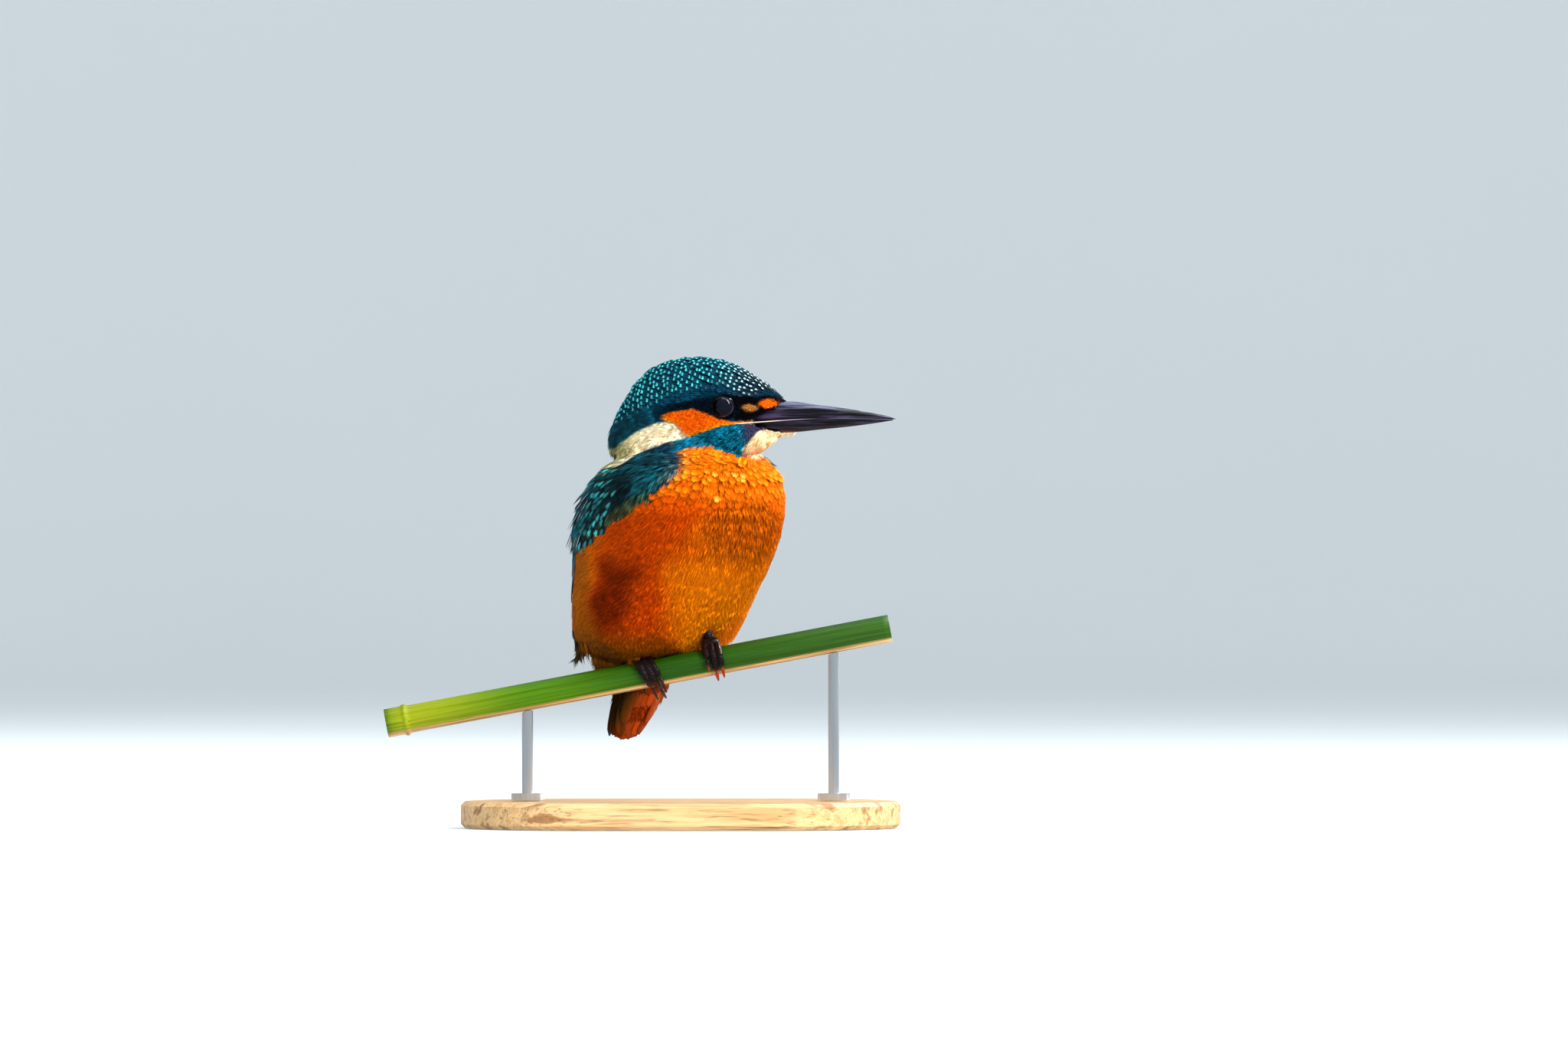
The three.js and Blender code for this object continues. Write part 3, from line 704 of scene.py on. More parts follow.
skin_depth = COAT_DEPTH[skin_part]
ahead, _, up = on_head(skin_at)
face = within(ahead, -11, 30, 2) * (1 - rise(up, 2.5, 5)) * rise(up, -14, -11) * (skin_part == HEAD)
skin_depth = skin_depth + (FACE_DEPTH - skin_depth) * face
socket = 1 - rise(np.hypot(ahead - EYE_AT[0], up - EYE_AT[1]), 4.2, 6.5)
skin_depth = skin_depth * (1 - socket * 0.9)
skin_depth = evened(skin_depth, skin_edges, 12)
skin_out = unit(evened(skin_out, skin_edges, 4))
outline_at = skin_at - skin_out * SEAM_COVER
skin_at = outline_at - skin_out * skin_depth[:, None]
skin_mesh.vertices.foreach_set("co", (skin_at * MM).ravel())
skin_lie = lie_of(outline_at, skin_out, skin_part)
skin_tone = markings(outline_at, skin_part)


def write(mesh, name, kind, values):
    """Writes a value at every point of a mesh as a named attribute."""
    old = mesh.attributes.get(name)
    if old is not None:
        mesh.attributes.remove(old)
    made = mesh.attributes.new(name, kind, "POINT")
    field = {"FLOAT": "value", "FLOAT_COLOR": "color", "FLOAT_VECTOR": "vector"}[kind]
    made.data.foreach_set(field, np.ascontiguousarray(values, dtype=np.float32).ravel())


skin_mesh.name = "skin"
triangles = bmesh.new()
triangles.from_mesh(skin_mesh)
bmesh.ops.triangulate(triangles, faces=triangles.faces)
triangles.to_mesh(skin_mesh)
triangles.free()
skin_thing = piece("skin", smoothed(skin_mesh))
bpy.context.view_layer.objects.active = skin_thing
skin_thing.select_set(True)
bpy.ops.object.mode_set(mode="EDIT")
bpy.ops.mesh.select_all(action="SELECT")
bpy.ops.uv.smart_project(angle_limit=math.radians(66), island_margin=0.004)
bpy.ops.object.mode_set(mode="OBJECT")
skin_mesh.uv_layers[0].name = "OFBake"
write(skin_mesh, "Tint", "FLOAT_COLOR", coloured(skin_tone))
write(skin_mesh, "Lie", "FLOAT_VECTOR", skin_lie)
write(skin_mesh, "Out", "FLOAT_VECTOR", skin_out)
# The skin's markings are darkened with a grain: painted shade deep between the feathers.
hide_painted_shade = [(0.3, grey(0.4)), (0.7, grey(0.75))]
hide = grained("stained skin with painted shade", 0.9, 0.05, 1400.0, hide_painted_shade, (0.0002, 0.5), detail=3, tinted=True)
skin_mesh.materials.append(hide)
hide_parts(*FLESH)

# ------------------------------------------------------------------ the body coat
# Small contour feathers cover breast, belly and flanks, each a soft fan of loose barbs.
# They are set root by root into the skin, overlap like tiles and lie back and down to the tail.

FEATHER_CURL = 1.7
PATCH = 0.003
CROWDING = 5.0


def fan(name, blades, spread, root_spread, width, notch=0.22, thick=0.09, full=False):
    """A feather of separate barbs, 1 wide, 1 long and 1 proud, as a mesh. Barb holds place and chance."""
    stations = ((0.0, 0.7), (0.5, 1.0), (0.88, 0.92)) if full else ((0.0, 0.7), (0.52, 1.0))
    points, faces, barbs = [], [], []
    for index in range(blades):
        where = (index + 0.5) / blades * 2 - 1
        chance = (index * 0.618 + 0.31) % 1
        end_along = 1 - notch * where * where - 0.1 * chance
        first = len(points)
        for share, wide in stations:
            across = where * (root_spread + (spread - root_spread) * share**0.8)
            reach = end_along * share
            lift = 1 - (1 - share) ** FEATHER_CURL
            half = width * wide / 2
            for step, rise_by in ((-half, -thick * 0.4), (half, -thick * 0.4), (0, thick)):
                points.append((across + step, reach, lift + rise_by))
                barbs.append((across + step, reach, chance))
        points.append((where * spread, end_along, 1.0))
        barbs.append((where * spread, end_along, chance))
        faces.append((first, first + 1, first + 2))
        for row in range(len(stations) - 1):
            a, b, c = range(first + 3 * row, first + 3 * row + 3)
            faces += [(b, a, a + 3, b + 3), (c, b, b + 3, c + 3), (a, c, c + 3, a + 3)]
        tip = first + 3 * len(stations)
        faces += [(tip - 2, tip - 3, tip), (tip - 1, tip - 2, tip), (tip - 3, tip - 1, tip)]
    mesh = mesh_of(name, points, faces)
    write(mesh, "Barb", "FLOAT_VECTOR", barbs)
    return bpy.data.objects.new(name, mesh)


def maths(tree, operation, *values):
    """A number worked out from others."""
    return node(tree, "ShaderNodeMath", dict(enumerate(values)), operation=operation).outputs[0]


def vectors(tree, operation, *values):
    """A vector worked out from others."""
    return node(tree, "ShaderNodeVectorMath", dict(enumerate(values)), operation=operation).outputs[0]


def coat_tree(scattered):
    """The tree that sets feathers on roots: on a skin at a spacing, or one at each point given."""
    tree = bpy.data.node_groups.new("feathering", "GeometryNodeTree")
    for name, kind in (
        ("Base", "Geometry"),
        ("Feather", "Object"),
        ("Finish", "Material"),
        ("Spacing", "Float"),
        ("Ruffle", "Float"),
        ("Uneven", "Float"),
        ("Seed", "Int"),
    ):
        tree.interface.new_socket(name, in_out="INPUT", socket_type=f"NodeSocket{kind}")
    tree.interface.new_socket("Coat", in_out="OUTPUT", socket_type="NodeSocketGeometry")
    given = node(tree, "NodeGroupInput").outputs
    roots = given["Base"]

    def named(name, kind="FLOAT_VECTOR"):
        return node(tree, "GeometryNodeInputNamedAttribute", {"Name": name}, data_type=kind).outputs[0]

    def stored(geometry, name, value, kind="FLOAT_VECTOR", domain="POINT"):
        links = {0: geometry, "Name": name, "Value": value}
        return node(tree, "GeometryNodeStoreNamedAttribute", links, data_type=kind, domain=domain).outputs[0]

    def thrown(low, high):
        links = {0: low, 1: high, "Seed": given["Seed"]}
        return node(tree, "FunctionNodeRandomValue", links, data_type="FLOAT_VECTOR").outputs[0]

    if scattered:
        links = {
            "Mesh": roots,
            "Distance Min": given["Spacing"],
            "Density Max": maths(tree, "MULTIPLY", maths(tree, "POWER", given["Spacing"], -2.0), CROWDING),
            "Density Factor": named("Cover", "FLOAT"),
            "Seed": given["Seed"],
        }
        sown = node(tree, "GeometryNodeDistributePointsOnFaces", links, distribute_method="POISSON")
        roots = stored(sown.outputs["Points"], "Root", named("OFBake"))
        roots = node(tree, "GeometryNodeRemoveAttribute", {0: roots, "Name": "OFBake"}).outputs[0]
    chance = node(tree, "FunctionNodeRandomValue", {"Seed": given["Seed"]}, data_type="FLOAT")
    roots = stored(roots, "Chance", chance.outputs[1], "FLOAT")
    least = maths(tree, "SUBTRACT", 1.0, given["Uneven"])
    most = maths(tree, "ADD", 1.0, given["Uneven"])
    scale = vectors(tree, "MULTIPLY", named("Size"), thrown(least, most))
    links = {0: named("Out"), 1: named("Lie")}
    aim = node(tree, "FunctionNodeAxesToRotation", links, primary_axis="Z", secondary_axis="Y")
    back = maths(tree, "MULTIPLY", given["Ruffle"], -1.0)
    mostly_yaw = vectors(tree, "MULTIPLY", thrown(back, given["Ruffle"]), (0.35, 0.6, 1.0))
    ruffled = node(tree, "FunctionNodeEulerToRotation", {0: mostly_yaw}).outputs[0]
    links = {0: aim.outputs[0], 1: ruffled}
    turned = node(tree, "FunctionNodeRotateRotation", links, rotation_space="LOCAL").outputs[0]
    feather = node(tree, "GeometryNodeObjectInfo", {"Object": given["Feather"]}).outputs["Geometry"]
    links = {"Points": roots, "Instance": feather, "Rotation": turned, "Scale": scale}
    coat = node(tree, "GeometryNodeInstanceOnPoints", links).outputs[0]
    coat = node(tree, "GeometryNodeRealizeInstances", {0: coat}).outputs[0]
    spot = vectors(tree, "MULTIPLY_ADD", named("Barb"), (PATCH, PATCH, 0), named("Root"))
    coat = stored(coat, "OFBake", spot, "FLOAT2", "CORNER")
    coat = node(tree, "GeometryNodeSetMaterial", {0: coat, "Material": given["Finish"]}).outputs[0]
    tree.links.new(coat, node(tree, "NodeGroupOutput").inputs[0])
    return tree


sowing, rows = coat_tree(True), coat_tree(False)


def stain(mesh):
    """Colours a sown coat point by point with the markings, so that their edges stay clean."""
    if "Part" not in mesh.attributes:
        return
    points = arrays_of(mesh)[0]
    part, stroke = np.empty(len(points)), np.empty(len(points))
    mesh.attributes["Part"].data.foreach_get("value", part)
    mesh.attributes["Stroke"].data.foreach_get("value", stroke)
    tones = markings(points, np.round(part).astype(int))
    write(mesh, "Tint", "FLOAT_COLOR", coloured(tones * np.clip(1 + stroke, 0.2, 1.8)[:, None]))


def feathered(name, base, feather, material, slot, spacing=0.0, ruffle=0.12, uneven=0.12, seed=1):
    """Sets feathers on a mesh of skin or of single roots, and makes the result a piece."""
    thing = placed(name, base)
    modifier = thing.modifiers.new("feathering", "NODES")
    modifier.node_group = sowing if spacing else rows
    values = {
        "Feather": feather,
        "Finish": material,
        "Spacing": spacing * MM,
        "Ruffle": ruffle,
        "Uneven": uneven,
        "Seed": seed,
    }
    for item in modifier.node_group.interface.items_tree:
        if item.in_out == "INPUT" and item.name in values:
            modifier[item.identifier] = values[item.name]
    coat = made_plain(thing)
    stain(coat)
    for spare in ("Lie", "Out", "Size", "Cover", "Root", "Part", "Stroke"):
        if spare in coat.attributes:
            coat.attributes.remove(coat.attributes[spare])
    coat.name = name
    piece(name, coat)


def sown(name, cover, size, *arguments, **settings):
    """Feathers sown over the part of the skin where cover is over nothing."""
    write(skin_mesh, "Cover", "FLOAT", cover)
    write(skin_mesh, "Size", "FLOAT_VECTOR", size * MM)
    keep = cover > 0.02
    patch = bmesh.new()
    patch.from_mesh(skin_mesh)
    patch.verts.ensure_lookup_table()
    spare = [face for face in patch.faces if not any(keep[v.index] for v in face.verts)]
    bmesh.ops.delete(patch, geom=spare, context="FACES")
    base = bpy.data.meshes.new(name)
    patch.to_mesh(base)
    patch.free()
    feathered(name, base, *arguments, **settings)


def plumage(name, low=0.62, high=1.2, dark=0.7, lustre=0.12, spotted=False, tip=1.1, soft=0.22):
    """Feather finish: the tint, darker at the root as painted shade under the overlapping feathers, with
    each barb and each feather its own tone.
    """
    material, tree, shader = finish(name, 0.6, lustre)
    axes = node(tree, "ShaderNodeSeparateXYZ", {0: attribute(tree, "Barb", "Vector")}).outputs
    strand = maths(tree, "FRACT", maths(tree, "ADD", axes["Z"], attribute(tree, "Chance", "Fac")))
    shades = [(0.0, grey(low)), (0.5, grey((low + high) / 2)), (1.0, grey(high))]
    strand_tone = ramp(tree, strand, shades, smooth=False)
    # Darker towards each feather's root: painted shade where the feathers overlap.
    root_shade = ramp(tree, axes["Y"], [(0.3, grey(dark)), (0.8, grey(1.0)), (1.0, grey(tip))])
    colour = times(tree, times(tree, attribute(tree, "Tint"), strand_tone), root_shade)
    if spotted:
        mark = node(tree, "ShaderNodeSeparateXYZ", {0: attribute(tree, "Mark", "Vector")}).outputs
        wide = maths(tree, "DIVIDE", axes["X"], mark["X"])
        near = maths(tree, "DIVIDE", maths(tree, "SUBTRACT", axes["Y"], 0.86), mark["Y"])
        away = node(tree, "ShaderNodeCombineXYZ", {0: wide, 1: near}).outputs[0]
        away = node(tree, "ShaderNodeVectorMath", {0: away}, operation="LENGTH").outputs["Value"]
        inside = maths(tree, "MULTIPLY", share_of(tree, away, 0.93 + soft, 0.93 - soft), mark["Z"])
        strand_light = ramp(tree, strand, [(0.0, grey(0.75)), (1.0, grey(1.2))], smooth=False)
        colour = blended(tree, inside, colour, times(tree, attribute(tree, "Spot"), strand_light))
    dressed(tree, shader, colour, noise_of(tree, place_of(tree), 2600.0), 0.00008, 0.4)
    return material


skin_tree = BVHTree.FromPolygons((skin_at * MM).tolist(), [tuple(f.vertices) for f in skin_mesh.polygons])
skin_corners = np.array([tuple(f.vertices) for f in skin_mesh.polygons])
skin_uv = np.empty(len(skin_mesh.loops) * 2)
skin_mesh.uv_layers["OFBake"].data.foreach_get("uv", skin_uv)
skin_uv = skin_uv.reshape(-1, 3, 2).mean(axis=1)


def struck(origin, way):
    """Where a ray in millimetres meets the skin, and which face it meets."""
    spot, _, face, _ = skin_tree.ray_cast(Vector(origin) * MM, Vector(way))
    return (np.array(spot) / MM, face) if spot is not None else None


def corner_of(hit):
    """A point of the skin beside a hit."""
    return skin_corners[hit[1]][0]


def spaced(rays, pitch, start=0.0):
    """The rays' parameters at even steps of length over the skin; rays is a list of (parameter, hit)."""
    values, points = zip(*[(value, hit[0]) for value, hit in rays if hit is not None])
    run = np.concatenate(([0], np.cumsum(np.linalg.norm(np.diff(points, axis=0), axis=1))))
    return np.interp(np.arange(start, run[-1], pitch), run, values)


def body_ray(height, turn):
    """A ray to the body at a height over the perch, from a turn to the right of straight ahead."""
    angle = math.radians(turn)
    out = BODY_AHEAD * math.cos(angle) - BODY_LEFT * math.sin(angle)
    return struck(out * 90 + UP * (height + PERCH_TOP), -out)


def planted(roots):
    """A mesh of single roots where rays met the skin, each with its feather's size and colours.
    A hit is a spot, its face of the skin and, where the feather hangs free, the face it aims by."""

    def each(key):
        return np.array([root[key] for root in roots], float)

    faces = np.array([root["hit"][1] for root in roots])
    aims = skin_corners[np.array([root["hit"][-1] for root in roots])]
    mesh = bpy.data.meshes.new("roots")
    mesh.from_pydata([tuple(root["hit"][0] * MM) for root in roots], [], [])
    out = unit(skin_out[aims].mean(axis=1))
    lie = skin_lie[aims].mean(axis=1)
    if "lean" in roots[0]:
        lie = lie + each("lean")
    lie = unit(lie - out * np.sum(lie * out, axis=1)[:, None])
    write(mesh, "Out", "FLOAT_VECTOR", out)
    write(mesh, "Lie", "FLOAT_VECTOR", lie)
    write(mesh, "Root", "FLOAT_VECTOR", np.column_stack((skin_uv[faces], np.zeros(len(roots)))))
    write(mesh, "Size", "FLOAT_VECTOR", each("size") * MM)
    if "tint" in roots[0]:
        write(mesh, "Tint", "FLOAT_COLOR", coloured(each("tint")))
    else:
        write(mesh, "Part", "FLOAT", skin_part[skin_corners[faces][:, 0]])
        write(mesh, "Stroke", "FLOAT", dice.uniform(-0.15, 0.15, len(roots)))
    if "spot" in roots[0]:
        write(mesh, "Spot", "FLOAT_COLOR", coloured(each("spot")))
        write(mesh, "Mark", "FLOAT_VECTOR", each("mark"))
    return mesh


def sized(wide, long, proud):
    """Each skin point's size of feather; a plain number stands for every point."""
    return np.column_stack([np.broadcast_to(side, len(skin_at)) for side in (wide, long, proud)])


def strokes(strength, size):
    """Marks the roots with how much lighter or darker each feather is, in strokes along their lie."""
    stroke = streaky(outline_at, skin_lie, size, 5) + 0.5 * streaky(outline_at, skin_lie, size * 2.5, 9)
    write(skin_mesh, "Stroke", "FLOAT", strength * stroke)


contour = fan("contour", 7, 0.43, 0.24, 0.13, notch=0.3, thick=0.07)
breast_finish = plumage("breast feathers", low=0.52, high=1.34, dark=0.92, tip=0.98, lustre=0.02)
ahead, left, up, turn = on_body(outline_at)
border = turn - wing_edge(left, up)
write(skin_mesh, "Part", "FLOAT", skin_part)
strokes(0.12, 1.6)
body_cover = np.where(np.isin(skin_part, (TRUNK, NECK)), 1.0, 0.0)
body_cover *= 1 - rise(border, 2, 7)
body_cover *= 1 - rise(up, 62.5, 65)
below_breast = 1 - rise(up, 40, 58)
by_perch = 1 - rise(up, 8, 22)
body_size = sized(
    1.8 + 0.6 * below_breast,
    3.8 + 2.4 * below_breast - 1.6 * by_perch,
    1.15 - 0.5 * rise(up, 48, 54) - 0.2 * by_perch,
)
for seed, name, here in (
    (11, "breast_feathers", up > 40),
    (12, "belly_feathers_right", (up <= 40) & (left < 0)),
    (13, "belly_feathers_left", (up <= 40) & (left >= 0)),
):
    sown(
        name, body_cover * here, body_size, contour, breast_finish, "orange",
        spacing=0.88, ruffle=0.06, uneven=0.05, seed=seed,
    )  # fmt: skip

# Vent: long soft feathers that hang from the rear of the belly down to the reed.
dice = np.random.default_rng(5)
roots = []
for height in np.arange(4.5, 11, 1.1):
    for a in np.arange(92, 150, 3.0):
        hit = body_ray(height + dice.uniform(-0.4, 0.4), a + dice.uniform(-1, 1))
        if hit is None or hit[0][1] < -5 or skin_part[corner_of(hit)] != TRUNK:
            continue
        size = (2.6, 1.2 + (hit[0][2] - PERCH_TOP) * 0.95, 0.9)
        roots.append(dict(hit=hit, size=size, lean=-UP * 1.6))
upright = body_ray(20, 100)[1]
for x in np.arange(-25.4, -13, 0.75):
    for y in np.arange(3.4, 12.5, 1.0):
        hit = struck((x + dice.uniform(-0.3, 0.3), y, PERCH_TOP - 30), UP)
        if hit is None or not 0 < hit[0][2] - PERCH_TOP < 11:
            continue
        size = (2.4, hit[0][2] - PERCH_TOP + dice.uniform(1.6, 3), 0.5)
        roots.append(dict(hit=(hit[0] + UP * 0.6, hit[1], upright), size=size, lean=-UP * 4))
feathered("vent_feathers", planted(roots), contour, breast_finish, "orange", ruffle=0.1, seed=14)

# The bib: broader feathers in staggered rows over the upper breast, each with a pale yellow middle.
BIB_PITCH = 2.3
bib = fan("bib", 9, 0.45, 0.24, 0.12, notch=0.24, full=True)
bib_finish = plumage(
    "bib feathers", low=0.78, high=1.18, dark=0.86, lustre=0.02, spotted=True, tip=1.0, soft=0.75
)
roots = []
dice = np.random.default_rng(7)
for row, height in enumerate(np.arange(50.0, 66.5, 2.0)):
    rays = [(a, body_ray(height, a)) for a in range(-75, 76, 3)]
    for a in spaced(rays, BIB_PITCH, (row % 2) * BIB_PITCH / 2):
        hit = body_ray(height + dice.uniform(-0.6, 0.6), a + dice.uniform(-1, 1))
        if hit is None:
            continue
        nearest = corner_of(hit)
        part = skin_part[nearest]
        if np.linalg.norm(hit[0] - outline_at[nearest]) > 4 or part not in (TRUNK, NECK):
            continue
        reach = np.array((0.5, 2.5, 4.5))[:, None]
        trial = markings(outline_at[nearest] + skin_lie[nearest] * reach, np.array([part] * 3))
        if trial[:, 0].min() < 180 or trial[:, 2].max() > 70:
            continue
        bright = dice.random() < 0.06 and abs(a) < 34
        glow = rise(height, 52, 60) * (1 - rise(abs(a), 52, 74)) * (0.6 + 0.25 * rise(abs(a), 12, 34))
        deeper = trial[2] * 0.6 + np.array((205.0, 70, 2)) * 0.4
        roots.append(
            dict(
                hit=hit,
                size=(2.8, 4.5, 1.0 - 0.15 * rise(height, 54, 62)),
                tint=deeper * (0.96 - 0.14 * dice.random()),
                spot=(255, 196, 70) if bright else (250, 164, 26),
                mark=(0.34 + 0.1 * dice.random(), 0.24 + 0.06 * dice.random(), 0.85 if bright else glow),
            )
        )
feathered("bib_feathers", planted(roots), bib, bib_finish, "orange", ruffle=0.04, uneven=0.06, seed=21)

# ------------------------------------------------------------------ the head coat
# The face wears the finest feathers of the bird, hardly longer than they are wide.
# They grow back from the bill over lores, ear coverts and cheeks, and lengthen down the neck.

HEAD_MIDDLE = HEAD_AT + HEAD_AHEAD * -3 + UP * -1
BILL_BACK = HEAD_AHEAD * -2


def head_point(ahead, left, up):
    return HEAD_AT + HEAD_AHEAD * ahead + HEAD_LEFT * left + UP * up


def head_ray(tilt, roll):
    """A ray to the head's middle, tilt degrees back from the bill and roll degrees to the left."""
    tilt, roll = math.radians(tilt), math.radians(roll)
    over = UP * math.cos(roll) + HEAD_LEFT * math.sin(roll)
    out = HEAD_AHEAD * math.cos(tilt) + over * math.sin(tilt)
    return struck(HEAD_MIDDLE + out * 60, -out)


face_finish = plumage("face feathers", low=0.66, high=1.22, dark=0.86, lustre=0.05)
small = fan("small", 5, 0.42, 0.2, 0.19)
p, side, q = on_head(outline_at)
of_head = skin_part == HEAD
crown = of_head & (q > along(p, CROWN_FOOT) + 0.9) & (p < 27)
under_crown = of_head & (q < along(p, CROWN_FOOT) + 2)
mottled = 0.2 + 0.9 * within(q, -14, along(p, EAR_FOOT), 0.5) * (1 - rise(p, 12, 16))
strokes(mottled, 0.5)
face_cover = np.where(under_crown & (p > -13), 1.0, 0.0)
throat_here = (p > along(q, THROAT_BACK) + 0.3) & (q < -6.2)
chin_here = throat_here & (p > 19)
patch_here = (q < along(p, NECK_TOP) - 0.3) & (q > along(p, NECK_FOOT) - 0.3) & (p < -3.8)
face_cover *= ~(throat_here | patch_here)
round_eye = np.hypot(p - EYE_AT[0], (q - EYE_AT[1]) * 1.1) + 0.5 * (p < EYE_AT[0])
face_cover *= rise(round_eye, 3.2, 3.7)
face_length = 1.4 + 1.2 * rise(-p, -9, 0) + 0.8 * rise(-q, 6, 12)
face_size = sized(0.75 + 0.2 * rise(-p, -8, 8), face_length, 0.45)
sown("face_feathers", face_cover, face_size, small, face_finish, "crown", spacing=0.5, seed=31)

# Neck: the pale patch behind the ear, the throat and the nape wear longer, silkier feathers.
silky = fan("silky", 6, 0.4, 0.22, 0.15, notch=0.35)
neck_finish = plumage("neck feathers", low=0.94, high=1.22, dark=0.98)
silk = patch_here | throat_here
strokes(np.where(silk, 0.03, 0.9), 0.8)
neck_here = under_crown & (p <= -12) | of_head & silk & ~chin_here
neck_here |= (skin_part == NECK) & ((rise(up, 61.5, 64) > 0.2) | (border > 0))
neck_length = 4.6 - 1.4 * patch_here * rise(p, -12, -5)
neck_size = sized(1.3, neck_length, 0.95 - 0.35 * patch_here - 0.35 * throat_here)
sown(
    "neck_feathers", neck_here.astype(float), neck_size, silky, neck_finish, "cream",
    spacing=0.72, ruffle=0.09, seed=32,
)  # fmt: skip

# Chin: silky feathers that reach forward under the bill, the foremost ones on its keel.
KEEL_FROM = 21.5
roots = []
for ahead_by in np.arange(16.0, 27.2, 0.7):
    half = 3.6 * (1 - rise(ahead_by, 15, 30))
    for side_by in np.arange(-half, half + 0.1, 0.45) + dice.uniform(-0.2, 0.2):
        hit = struck(head_point(min(ahead_by, KEEL_FROM), side_by, -40), UP)
        if hit is None:
            continue
        if ahead_by > KEEL_FROM:
            on_keel = ahead_by + dice.uniform(-0.4, 0.4)
            hit = (head_point(on_keel, side_by * 0.7, -7.7 + 0.25 * abs(side_by)), hit[1])
        long = (4.8 - 1.8 * rise(ahead_by, 21, 27)) * dice.uniform(0.75, 1.2)
        roots.append(dict(hit=hit, size=(1.2, long, 0.4), lean=BILL_BACK - UP * 0.8))
feathered("chin_feathers", planted(roots), silky, neck_finish, "cream", ruffle=0.06, seed=35)

# Crown: overlapping dark feathers in arched rows, each tipped with a spot of turquoise.
crown_finish = plumage("crown feathers", low=0.2, high=1.9, dark=0.6, lustre=0.06, spotted=True)
cap = fan("cap", 8, 0.44, 0.24, 0.15, notch=0.2, full=True)
roots = []
for row, tilt in enumerate(spaced([(t, head_ray(t, 0)) for t in range(6, 176, 2)], 1.55)):
    rays = [(r, head_ray(tilt, r)) for r in range(-112, 113, 4)]
    pitch = 1.75 - 0.4 * (tilt < 50)
    for roll in spaced(rays, pitch, (row % 2) * pitch / 2):
        hit = head_ray(tilt + dice.uniform(-0.5, 0.5), roll + dice.uniform(-1.2, 1.2))
        if hit is None or not crown[corner_of(hit)]:
            continue
        ahead_by = p[corner_of(hit)]
        over = q[corner_of(hit)] - along(ahead_by, CROWN_FOOT)
        front = rise(ahead_by, 6, 17)
        bare = 0.9 + 1.3 * within(ahead_by, -8, 12, 3)
        shown = rise(over, bare, bare + 2.6 - 1.6 * front) * (1 - rise(-ahead_by, 24, 32) * 0.6)
        # The spots turn whiter towards the forehead: partly their own colour, partly a painted highlight.
        white = rise(ahead_by, 4, 17) * 0.9
        roots.append(
            dict(
                hit=hit,
                size=(2.1 - 0.7 * front, 3.6 - 0.8 * front, 0.85 - 0.2 * front),
                tint=np.array((2.0, 46, 66)) * (1 - front * 0.55) + np.array((14.0, 16, 22)) * front,
                spot=np.array((76.0, 206, 200)) * (1 - white) + np.array((214.0, 232, 232)) * white,
                mark=(0.34 - 0.12 * front, 0.13 + 0.12 * front, shown * dice.uniform(0.45, 1.0)),
            )
        )
feathered("crown_feathers", planted(roots), cap, crown_finish, "crown", ruffle=0.1, seed=33)

# ------------------------------------------------------------------ the wings
# The folded wings: fine lesser coverts on the shoulder, spotted coverts in rows down the middle, scapulars
# with a painted highlight along their edges over their rear, and long flight feathers that close over each
# other to the tip.

WINGS = ((1, 0), (-1, LEFT_WING_BACK))
FORE_COVERTS = ((38, 96), (42, 90), (46, 84), (50, 78), (54, 73), (60, 75))
REAR_COVERTS = ((38, 109), (42, 104), (46, 101), (50, 97), (54, 95), (60, 92))
SHOULDER_LINE = ((38, 114), (46, 109), (54, 104), (60, 102), (66, 99))
covert_finish = plumage("covert feathers", low=0.05, high=2.1, dark=0.5, lustre=0.2)
spotted_finish = plumage("spotted coverts", low=0.3, high=1.5, dark=0.6, lustre=0.25, spotted=True)
wing_skin = np.isin(skin_part, (WING_RIGHT, WING_LEFT))
wing_cover = np.where(wing_skin | (skin_part == TRUNK) & (border > 3), 1.0, 0.0)
strokes(1.0, 0.8)
for side_name, here in (("right", left < 0), ("left", left >= 0)):
    sown(
        f"wing_feathers_{side_name}", wing_cover * here, sized(1.9, 4.8, 0.9), silky, covert_finish,
        "wing_blue", spacing=0.95, ruffle=0.08, seed=41,
    )  # fmt: skip
roots = []
for sense, back in WINGS:
    for row, height in enumerate(np.arange(39.0, 62.0, 2.7)):
        fore = along(height, FORE_COVERTS) + back
        rear = along(height, REAR_COVERTS) + back
        for a in np.arange(fore + (row % 2) * 2.2, rear + 2, 4.4):
            hit = body_ray(height + dice.uniform(-0.5, 0.5), sense * (a + dice.uniform(-0.9, 0.9)))
            if hit is None or not wing_skin[corner_of(hit)]:
                continue
            roots.append(
                dict(
                    hit=hit,
                    size=(2.7, 6.4, 1.15),
                    tint=(0, 24, 30),
                    spot=np.array((50.0, 172, 172)) * dice.uniform(0.7, 1.1),
                    mark=(0.24, 0.3, dice.uniform(0.35, 0.95)),
                )
            )
feathered("spotted_coverts", planted(roots), cap, spotted_finish, "wing_blue", ruffle=0.08, seed=43)

VANE_ROWS = 8
VANE_ACROSS = 4
VANE_DOME = 0.5


